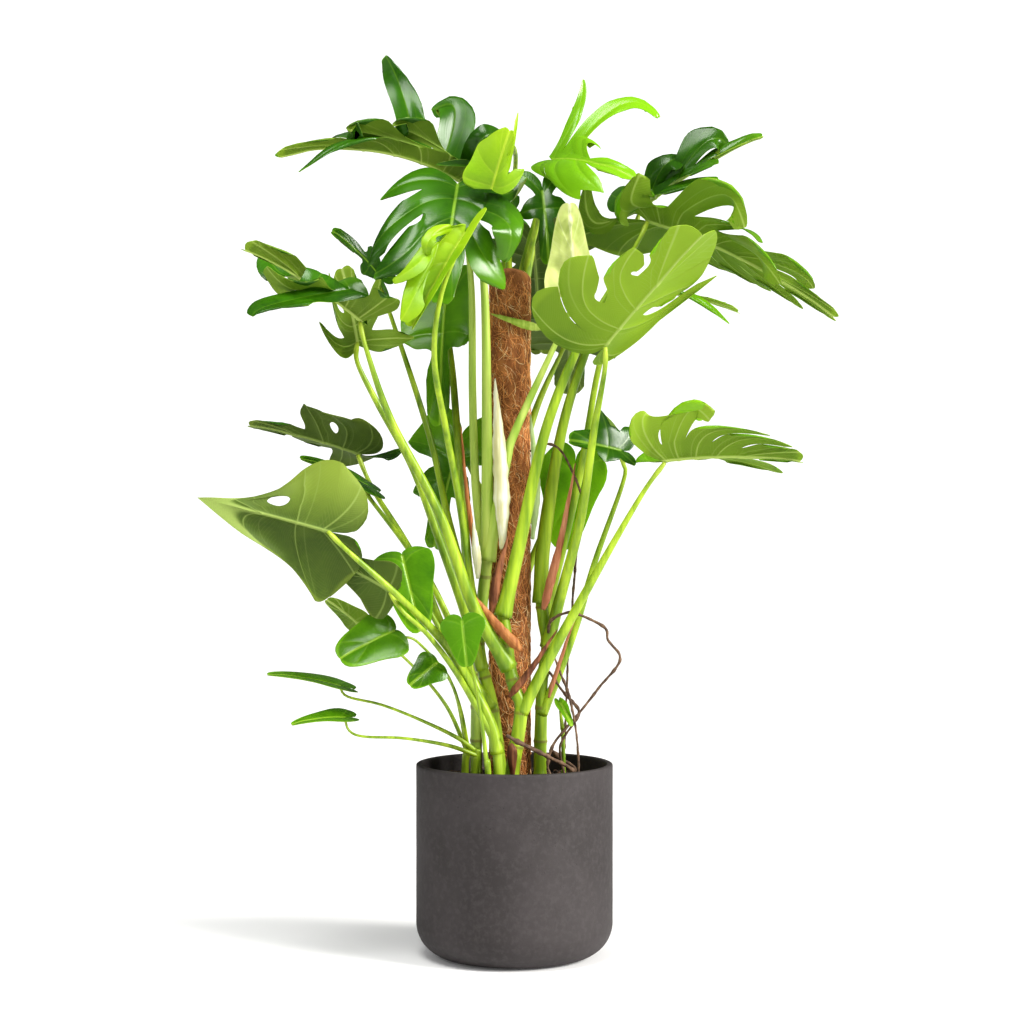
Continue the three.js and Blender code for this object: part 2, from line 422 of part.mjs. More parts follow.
// A place on the blade's middle surface, with its lobe led through its set middle and turned
// to where it faces. Joined edges between lobes stay where they are.
function bladePoint(leaf, frame, side, lobe, w, row) {
  const { place, beside, u } = bentPoint(leaf, frame, side, lobe, w, row);
  const out = pastCut(row);
  const mid = leaf.mids && leaf.mids[side][lobe];
  const facing = leaf.faces && leaf.faces[side][lobe];
  if (out === 0 || (!mid && !facing)) return place;
  const seams = leaf.cuts[side];
  const isFree = (seam) => seam === "c" && lobe < seams.length;
  let free = 1;
  if (w < 0 && lobe > 0 && !isFree(seams[lobe - 1])) free -= w * w;
  if (w > 0 && !isFree(seams[lobe])) free -= w * w;
  const middleAt = (someRow) => {
    const point = bentPoint(leaf, frame, side, lobe, 0, someRow).place;
    if (!mid) return point;
    const halfWay = bentPoint(leaf, frame, side, lobe, 0, (1 + CUT_ROW) / 2).place;
    const past = pastCut(someRow);
    return point.addScaledVector(vector(mid).sub(halfWay), 4 * past * (1 - past));
  };
  const bare = bentPoint(leaf, frame, side, lobe, 0, row).place;
  place.addScaledVector(middleAt(row).sub(bare), free);
  if (!facing) return place;
  const inner = bentPoint(leaf, frame, side, lobe, 0, CUT_ROW).u;
  const outer = bentPoint(leaf, frame, side, lobe, 0, 1).u;
  const level = CUT_ROW + ((1 - CUT_ROW) * (u - inner)) / (outer - inner);
  const ahead = middleAt(level + LEVEL_STEP).sub(middleAt(level - LEVEL_STEP)).normalize();
  const wide = new THREE.Vector3().crossVectors(vector(facing), ahead).normalize();
  const turned = middleAt(level).addScaledVector(wide, Math.sign(w) * (side === 0 ? 1 : -1) * beside);
  return place.lerp(turned, free * Math.min(1, out / TURN_END) ** TURN_POWER);
}

// Middle surface of a blade as shared vertices and triangles
function bladeSheet(leaf) {
  const frame = bladeFrame(leaf);
  const rows = leaf.cuts.join("").includes("h") ? HOLED_ROWS : ROWS;
  const places = new Map();
  const points = [];
  const faces = [];
  const vertex = (side, lobe, column, rowIndex) => {
    const seams = leaf.cuts[side];
    const count = seams.length + 1;
    const w = COLUMNS[column];
    const row = rows[rowIndex];
    let name = `${side} ${lobe} ${column} ${rowIndex}`;
    const lastColumn = COLUMNS.length - 1;
    const q = (lobe + (w + 1) / 2) / count;
    const edge = column === 0 ? lobe : column === lastColumn ? lobe + 1 : -1;
    if (rowIndex === 0) name = `midrib ${q.toFixed(4)}`;
    else if (edge === count) name = `tip ${rowIndex}`;
    else if (edge > 0) {
      const seam = seams[edge - 1];
      const shared = row <= CUT_ROW || seam === "j" || (seam === "h" && row >= HOLE_END);
      if (shared) name = `${side} seam ${edge} ${rowIndex}`;
    }
    if (!places.has(name)) {
      places.set(name, points.length);
      points.push(bladePoint(leaf, frame, side, lobe, w, row));
    }
    return places.get(name);
  };
  for (const side of [0, 1]) {
    for (let lobe = 0; lobe <= leaf.cuts[side].length; lobe += 1) {
      for (let column = 0; column < COLUMNS.length - 1; column += 1) {
        for (let row = 0; row < rows.length - 1; row += 1) {
          const a = vertex(side, lobe, column, row);
          const b = vertex(side, lobe, column + 1, row);
          const c = vertex(side, lobe, column + 1, row + 1);
          const d = vertex(side, lobe, column, row + 1);
          const quads = [[a, b, c], [a, c, d]];
          for (const [i, j, k] of quads) faces.push(side === 0 ? [i, k, j] : [i, j, k]);
        }
      }
    }
  }
  return { points, faces, frame };
}

// Closed geometry from points and triangles
function closedGeometry(points, faces) {
  const geometry = new THREE.BufferGeometry();
  const position = new Float32Array(points.length * 3);
  points.forEach((point, i) => point.toArray(position, i * 3));
  geometry.setAttribute("position", new THREE.BufferAttribute(position, 3));
  geometry.setIndex(faces.flat());
  return geometry;
}

// Solid blade: the middle surface offset to both faces, with walls along every free edge
function bladeGeometry(leaf, thickness) {
  const { points, faces } = bladeSheet(leaf);
  const sheet = closedGeometry(points, faces);
  sheet.computeVertexNormals();
  const normals = sheet.getAttribute("normal");
  const top = points.map((point, i) => point.clone()
    .addScaledVector(new THREE.Vector3().fromBufferAttribute(normals, i), thickness / 2));
  const bottom = points.map((point, i) => point.clone()
    .addScaledVector(new THREE.Vector3().fromBufferAttribute(normals, i), -thickness / 2));
  const size = points.length;
  const edges = new Map();
  for (const [a, b, c] of faces) {
    for (const [i, j] of [[a, b], [b, c], [c, a]]) edges.set(`${i} ${j}`, [i, j]);
  }
  const solid = [...faces];
  for (const [a, b, c] of faces) solid.push([a + size, c + size, b + size]);
  for (const [i, j] of edges.values()) {
    if (!edges.has(`${j} ${i}`)) solid.push([i, i + size, j + size], [i, j + size, j]);
  }
  return closedGeometry([...top, ...bottom], solid);
}

// Tapered tube with closed ends along a smooth curve through hand-set points
function tubeGeometry(points, radii, sides, step) {
  const curve = new THREE.CatmullRomCurve3(points, false, "catmullrom", 0.5);
  const steps = Math.max(points.length - 1, Math.round(curve.getLength() / step));
  const frames = curve.computeFrenetFrames(steps, false);
  const places = [];
  for (let i = 0; i <= steps; i += 1) {
    const part = i / steps;
    const centre = curve.getPointAt(part);
    const along = part * (radii.length - 1);
    const k = Math.min(radii.length - 2, Math.floor(along));
    const radius = THREE.MathUtils.lerp(radii[k], radii[k + 1], along - k);
    for (let j = 0; j < sides; j += 1) {
      const angle = (2 * Math.PI * j) / sides;
      places.push(centre.clone()
        .addScaledVector(frames.normals[i], radius * Math.cos(angle))
        .addScaledVector(frames.binormals[i], radius * Math.sin(angle)));
    }
  }
  const faces = [];
  for (let i = 0; i < steps; i += 1) {
    for (let j = 0; j < sides; j += 1) {
      const a = i * sides + j;
      const b = i * sides + ((j + 1) % sides);
      faces.push([a, b, b + sides], [a, b + sides, a + sides]);
    }
  }
  const end = steps * sides;
  for (let j = 1; j < sides - 1; j += 1) {
    faces.push([0, j + 1, j], [end, end + j, end + j + 1]);
  }
  return closedGeometry(places, faces);
}

// A closed geometry as a solid, and back
function toSolid(geometry) {
  const bare = new THREE.BufferGeometry();
  bare.setAttribute("position", geometry.getAttribute("position").clone());
  if (geometry.index) bare.setIndex(geometry.index.clone());
  const merged = mergeVertices(bare, 1e-4);
  return new wasm.Manifold(new wasm.Mesh({
    numProp: 3,
    vertProperties: new Float32Array(merged.getAttribute("position").array),
    triVerts: new Uint32Array(merged.index.array),
  }));
}

function toGeometry(solid) {
  const mesh = solid.getMesh();
  const geometry = new THREE.BufferGeometry();
  geometry.setAttribute("position", new THREE.BufferAttribute(new Float32Array(mesh.vertProperties), 3));
  geometry.setIndex(Array.from(mesh.triVerts));
  return geometry;
}

const join = (solids) => solids.reduce((whole, part) => whole.add(part));

const plant = new THREE.Group();

function addMesh(name, geometry, colour, roughness = 0.5) {
  const material = new THREE.MeshStandardMaterial({ color: colour, roughness, metalness: 0 });
  const mesh = new THREE.Mesh(geometry, material);
  mesh.name = name;
  plant.add(mesh);
}

// Pot: flat foot, round lower corner, straight wall and an eased rim
function potGeometry() {
  const profile = [[0, 0], [POT_FOOT_RADIUS, 0], [POT_FOOT_RADIUS, POT_FOOT_STEP]];
  const corners = 6;
  const middle = POT_RADIUS - POT_CORNER;
  for (let i = 0; i <= corners; i += 1) {
    const angle = radians(-72 + (72 * i) / corners);
    profile.push([middle + POT_CORNER * Math.cos(angle), POT_CORNER + POT_CORNER * Math.sin(angle)]);
  }
  const inside = POT_RADIUS - POT_WALL;
  profile.push([POT_RADIUS, POT_HEIGHT - 3], [POT_RADIUS - 2.5, POT_HEIGHT]);
  profile.push([inside + 2.5, POT_HEIGHT], [inside, POT_HEIGHT - 3], [inside, POT_CORNER]);
  profile.push([inside - 14, POT_FLOOR + 12], [inside - 40, POT_FLOOR], [0, POT_FLOOR]);
  return turned(profile, POT_SIDES);
}

// A lathe around +Z from a profile that starts and ends on the axis
function turned(profile, sides) {
  const outlinePoints = profile.map(([r, z]) => new THREE.Vector2(r, z));
  return new THREE.LatheGeometry(outlinePoints, sides).rotateX(Math.PI / 2);
}

// Soil: fills the pot, with a plain hole for each stem and for the pole
function soilGeometry(holes) {
  const inside = POT_RADIUS - POT_WALL - CLEAR;
  const floor = POT_FLOOR + CLEAR;
  const profile = [[0, floor], [inside - 41, floor], [inside - 14.5, floor + 12.5]];
  profile.push([inside, POT_CORNER + 0.5], [inside, SOIL_TOP - 4], [inside - 12, SOIL_TOP], [0, SOIL_TOP]);
  return toGeometry(toSolid(turned(profile, POT_SIDES)).subtract(join(holes)));
}

// A plain round hole down to the hole floor
function soilHole(x, y, radius, bottom = HOLE_FLOOR) {
  const height = SOIL_TOP + 10 - bottom;
  const plug = new THREE.CylinderGeometry(radius, radius, height, HOLE_SIDES);
  return toSolid(plug.rotateX(Math.PI / 2).translate(x, y, bottom + height / 2));
}

// Coir sleeve with a domed top and a bore that is open below, and the stake in it
function sleeveGeometry() {
  const { radius, bore, bottom, top, dome } = POLE;
  const profile = [[0, STAKE.top + CLEAR], [bore, STAKE.top + CLEAR], [bore, bottom], [radius, bottom]];
  profile.push([radius, top - dome], [radius * 0.82, top - dome * 0.35], [radius * 0.45, top - 3], [0, top]);
  return turned(profile, SLEEVE_SIDES).translate(POLE.x, POLE.y, 0);
}

function stakeGeometry() {
  const { radius, bottom, top } = STAKE;
  const profile = [[0, bottom], [radius, bottom], [radius, top], [0, top]];
  return turned(profile, STAKE_SIDES).translate(POLE.x, POLE.y, 0);
}

// The stalk's last point: as close under the blade, where the midrib begins, as the stalk's
// slant lets its end come
function seat(leaf, before) {
  const { at, along, over } = bladeFrame(leaf);
  const ahead = at.clone().sub(vector(before)).normalize();
  const slant = Math.sqrt(Math.max(0, 1 - ahead.dot(over) ** 2));
  const below = BLADE / 2 + SEAT_GAP + slant * STALK_END;
  return at.addScaledVector(along, STALK_END).addScaledVector(over, -below);
}

// A path that rises straight out of the foot of its soil hole
function rootedPath({ foot, path }) {
  return [[...foot, STEM_FOOT], [...foot, POT_HEIGHT], ...path].map(vector);
}

const leafNamed = (name) => LEAVES.find((leaf) => leaf.name === name);

// A stem with the stalks of its leaves. Each stalk starts inside the stem.
const STEMS = [
  { name: "stem_front", foot: [-3, -90], path: [[11, -88, 428], [1, -86, 463], [-9, -82, 506],
    [-14, -80, 550], [-20, -78, 591]], radii: [12, 12, 11, 11, 10], tone: "stem",
    stalks: [
      { leaf: "leaf_right", from: [[11, -88, 424], [64, -100, 528], [149, -118, 683], [214, -128, 795]],
        radii: [10, 9, 7, 5, 4] },
      { leaf: "leaf_left_front", from: [[-9, -82, 500], [-69, -110, 606], [-125, -135, 760],
        [-203, -165, 913], [-243, -186, 1030]], radii: [13, 10, 8, 6, 4] },
      { leaf: "leaf_upper_right", from: [[-20, -78, 586], [8, -75, 707], [53, -70, 902], [109, -62, 1045],
        [168, -58, 1150], [210, -68, 1222]], radii: [13, 11, 9, 8, 5, 4] },
    ] },
  { name: "stem_left", foot: [-24, -48], path: [[-38, -50, 434], [-55, -50, 500],
    [-64, -48, 560], [-72, -44, 612]], radii: [10, 10, 10, 9], tone: "stem",
    stalks: [
      { leaf: "leaf_mid_left", from: [[-38, -54, 430], [-82, -62, 494], [-120, -40, 560], [-175, 0, 688],
        [-245, 32, 800]], radii: [9, 7, 6, 5, 4] },
      { leaf: "leaf_left_rear", from: [[-55, -50, 496], [-86, -72, 600], [-128, -84, 720], [-172, -96, 840],
        [-232, -116, 950], [-262, -124, 1012]], radii: [10, 8, 7, 6, 4] },
      { leaf: "leaf_back_hanging", from: [[-72, -44, 606], [-80, -26, 664], [-90, 8, 783], [-100, 40, 903],
        [-110, 74, 1020], [-120, 78, 1100]], radii: [9, 8, 7, 6, 4] },
      { leaf: "leaf_young", from: [[-68, -46, 590], [-90, -70, 760], [-114, -140, 900], [-130, -225, 1010],
        [-118, -256, 1110]], radii: [7, 6, 5, 4] },
      { leaf: "leaf_left_slim", from: [[-70, -38, 598], [-112, 20, 740], [-150, 55, 900], [-212, 90, 1090]],
        radii: [7, 6, 5, 4] },
    ] },
  { name: "stem_right", foot: [44, -5], path: [[46, -5, 416], [48, -5, 473], [56, -5, 533],
    [50, -3, 575], [46, -2, 611]], radii: [11, 11, 10, 10, 10], tone: "stem",
    stalks: [
      { leaf: "leaf_right_dark", from: [[46, -5, 414], [75, -14, 482], [108, -24, 575], [139, -32, 682],
        [186, -34, 815], [186, -34, 846]], radii: [9, 7, 6, 5, 4, 4] },
      { leaf: "leaf_front", from: [[56, -8, 530], [76, -24, 608], [112, -64, 751], [134, -100, 903],
        [149, -144, 995]], radii: [11, 9, 8, 6, 4] },
      { leaf: "leaf_front_under", from: [[50, 2, 570], [84, 22, 700], [112, 16, 820], [126, 0, 903],
        [150, -20, 1030], [190, -60, 1105]], radii: [8, 7, 6, 5, 4] },
      { leaf: "leaf_upper_right_rear", from: [[46, -2, 606], [50, 0, 706], [82, 6, 904], [125, 14, 1044],
        [168, 44, 1150], [204, 70, 1240]], radii: [13, 12, 9, 7, 5, 4] },
    ] },
  { name: "stem_pale", foot: [-66, 14], path: [[-66, 10, 400], [-62, 0, 540], [-52, -24, 640],
    [-46, -36, 690]], radii: [10, 10, 10], tone: "pale",
    stalks: [
      { leaf: "leaf_crown_left", from: [[-46, -36, 684], [-47, -42, 902], [-52, -45, 1149],
        [-74, -54, 1260]], radii: [12, 9, 7, 4] },
      { leaf: "leaf_crown_front", from: [[-50, -30, 670], [-66, -22, 800], [-72, -16, 960], [-74, -30, 1150],
        [-88, -70, 1270]], radii: [8, 7, 6, 4] },
      { leaf: "leaf_cream", from: [[-46, -38, 680], [-14, -52, 848], [2, -54, 902], [74, -62, 1058],
        [96, -72, 1110]], radii: [12, 9, 7, 5, 4] },
    ] },
  { name: "stem_climbing", foot: [-8, 78], path: [[-10, 78, 400], [2, 78, 560], [-12, 78, 720], [2, 78, 880],
    [-10, 76, 1010], [-4, 74, 1110]], radii: [12, 12, 11, 10, 9], tone: "stem",
    stalks: [
      { leaf: "leaf_rear_right", from: [[0, 80, 600], [40, 100, 700], [84, 112, 800]], radii: [9, 7, 5, 4] },
      { leaf: "leaf_rear_left", from: [[-12, 82, 680], [-50, 120, 780], [-86, 134, 856]],
        radii: [9, 7, 5, 4] },
      { leaf: "leaf_rear_mid", from: [[0, 82, 820], [40, 112, 950], [84, 140, 1048]], radii: [9, 7, 5, 4] },
      { leaf: "leaf_behind_pole", from: [[-6, 80, 930], [4, 104, 1060], [26, 132, 1185]],
        radii: [9, 7, 5, 4] },
      { leaf: "leaf_top_yellow", from: [[-8, 76, 1000], [-24, 92, 1120], [-10, 84, 1270], [2, 10, 1376],
        [-14, -110, 1380], [-26, -158, 1345]],
        radii: [9, 7, 5, 4, 4, 4] },
      { leaf: "leaf_top_rear", from: [[-8, 74, 1060], [-10, 60, 1210], [-10, 24, 1285]], radii: [8, 6, 4] },
      { leaf: "leaf_top_dark", from: [[-4, 76, 1080], [20, 60, 1190], [44, 10, 1280]], radii: [8, 6, 4] },
      { leaf: "leaf_top_bright", from: [[-4, 74, 1104], [20, 66, 1210], [50, 50, 1320], [60, 20, 1352]],
        radii: [9, 7, 5, 4] },
    ] },
  { name: "stem_low_left", foot: [-26, -124], path: [[-30, -122, 380]], radii: [9, 9],
    tone: "stem",
    stalks: [
      { leaf: "leaf_low_left", from: [[-28, -122, 360], [-40, -124, 410], [-70, -130, 470], [-114, -160, 545],
        [-190, -222, 628], [-268, -250, 700]], radii: [10, 9, 8, 6, 5, 4] },
      { leaf: "leaf_low_olive", from: [[-34, -122, 384], [-92, -150, 490], [-140, -192, 560],
        [-182, -216, 602]], radii: [6, 5, 4, 4] },
      { leaf: "leaf_low_heart", from: [[-30, -118, 380], [-90, -100, 500], [-138, -112, 590],
        [-178, -126, 668]], radii: [6, 5, 4, 4] },
      { leaf: "leaf_mid_slim", from: [[-28, -118, 376], [-84, -92, 520], [-140, -66, 640], [-190, -48, 713],
        [-250, -34, 790]], radii: [7, 6, 5, 4] },
    ] },
];

for (const stem of STEMS) {
  const solids = [toSolid(tubeGeometry(rootedPath(stem), stem.radii, STEM_SIDES, STEM_STEP))];
  for (const stalk of stem.stalks) {
    const points = [...stalk.from.map(vector), seat(leafNamed(stalk.leaf), stalk.from.at(-1))];
    const radii = stalk.radii.slice(0, -1).concat(STALK_END);
    solids.push(toSolid(tubeGeometry(points, radii, STALK_SIDES, STALK_STEP)));
  }
  addMesh(stem.name, toGeometry(join(solids)), COLOUR[stem.tone]);
}

for (const leaf of LEAVES) {
  addMesh(leaf.name, bladeGeometry(leaf, BLADE), COLOUR[leaf.tone || "leaf"], 0.3);
}

// Each small leaf is fused to the end of its stalk, and the stalks to their shoot
for (const shoot of SHOOTS) {
  const solids = [toSolid(tubeGeometry(rootedPath(shoot), shoot.radii, STEM_SIDES, STEM_STEP))];
  for (const leaf of shoot.leaves) {
    const points = [...leaf.stalk, leaf.at].map(vector);
    solids.push(toSolid(tubeGeometry(points, [4, 2.5, 2], STALK_SIDES, STALK_STEP)));
    solids.push(toSolid(bladeGeometry(leaf, SMALL_BLADE)));
  }
  addMesh(shoot.name, toGeometry(join(solids)), COLOUR.stem);
}

for (const root of ROOTS) {
  const end = [SOIL_TOP + ROOT_DROP, SOIL_TOP + CLEAR].map((z) => vector([...root.end, z]));
  const points = [...root.path.map(vector), ...end];
  addMesh(root.name, tubeGeometry(points, root.radii, STALK_SIDES, ROOT_STEP), COLOUR.root, 0.8);
}

const rooted = [...STEMS, ...SHOOTS];
const holes = rooted.map(({ foot, radii }) => soilHole(...foot, radii[0] + HOLE_ROOM));
holes.push(soilHole(POLE.x, POLE.y, POLE.radius + HOLE_ROOM));
holes.push(soilHole(POLE.x, POLE.y, STAKE.radius + HOLE_ROOM, STAKE.bottom - CLEAR));

addMesh("pot", potGeometry(), COLOUR.clay, 0.8);
addMesh("soil", soilGeometry(holes), COLOUR.soil, 0.95);
addMesh("coir_sleeve", sleeveGeometry(), COLOUR.coir, 0.95);
addMesh("pole_stake", stakeGeometry(), COLOUR.stake, 0.8);

export default plant;
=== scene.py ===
"""Looks of the potted swiss cheese plant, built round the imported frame.

The tables hold places in millimetres in the row frame, as the CAD does, and MM makes them metres.
Each fine blade and stalk follows the same curves as the solid that it stands for.
"""

import math
from types import SimpleNamespace

import bpy
import numpy as np
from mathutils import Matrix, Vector


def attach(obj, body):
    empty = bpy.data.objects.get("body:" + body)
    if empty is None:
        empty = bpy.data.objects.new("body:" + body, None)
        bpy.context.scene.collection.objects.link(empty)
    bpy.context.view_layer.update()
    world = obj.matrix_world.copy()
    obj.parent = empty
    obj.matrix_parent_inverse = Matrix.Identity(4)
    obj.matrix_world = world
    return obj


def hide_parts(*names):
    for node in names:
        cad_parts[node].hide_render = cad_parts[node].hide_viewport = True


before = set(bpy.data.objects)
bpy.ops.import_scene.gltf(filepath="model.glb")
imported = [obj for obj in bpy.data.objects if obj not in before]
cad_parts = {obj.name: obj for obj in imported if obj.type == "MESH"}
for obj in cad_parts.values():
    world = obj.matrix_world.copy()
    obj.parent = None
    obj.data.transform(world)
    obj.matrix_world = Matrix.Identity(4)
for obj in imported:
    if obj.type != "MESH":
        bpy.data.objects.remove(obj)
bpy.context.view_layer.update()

# Sizes in millimetres, the same as in the CAD source
MM = 0.001
CLEAR = 0.35
STEM_FOOT = 240
POT_RADIUS = 170
POT_HEIGHT = 330
POT_FLOOR = 16
POT_WALL = 11
POT_CORNER = 58
POT_FOOT_RADIUS = 116
POT_FOOT_STEP = 3
SOIL_TOP = 304
ROOT_DROP = 14
STALK_END = 3
SEAT_GAP = 0.45
BLADE = 1.6

# Middle, radius and heights of the coir sleeve
POLE = {"x": -8, "y": 15, "radius": 37, "bottom": 240, "top": 1188, "dome": 24}

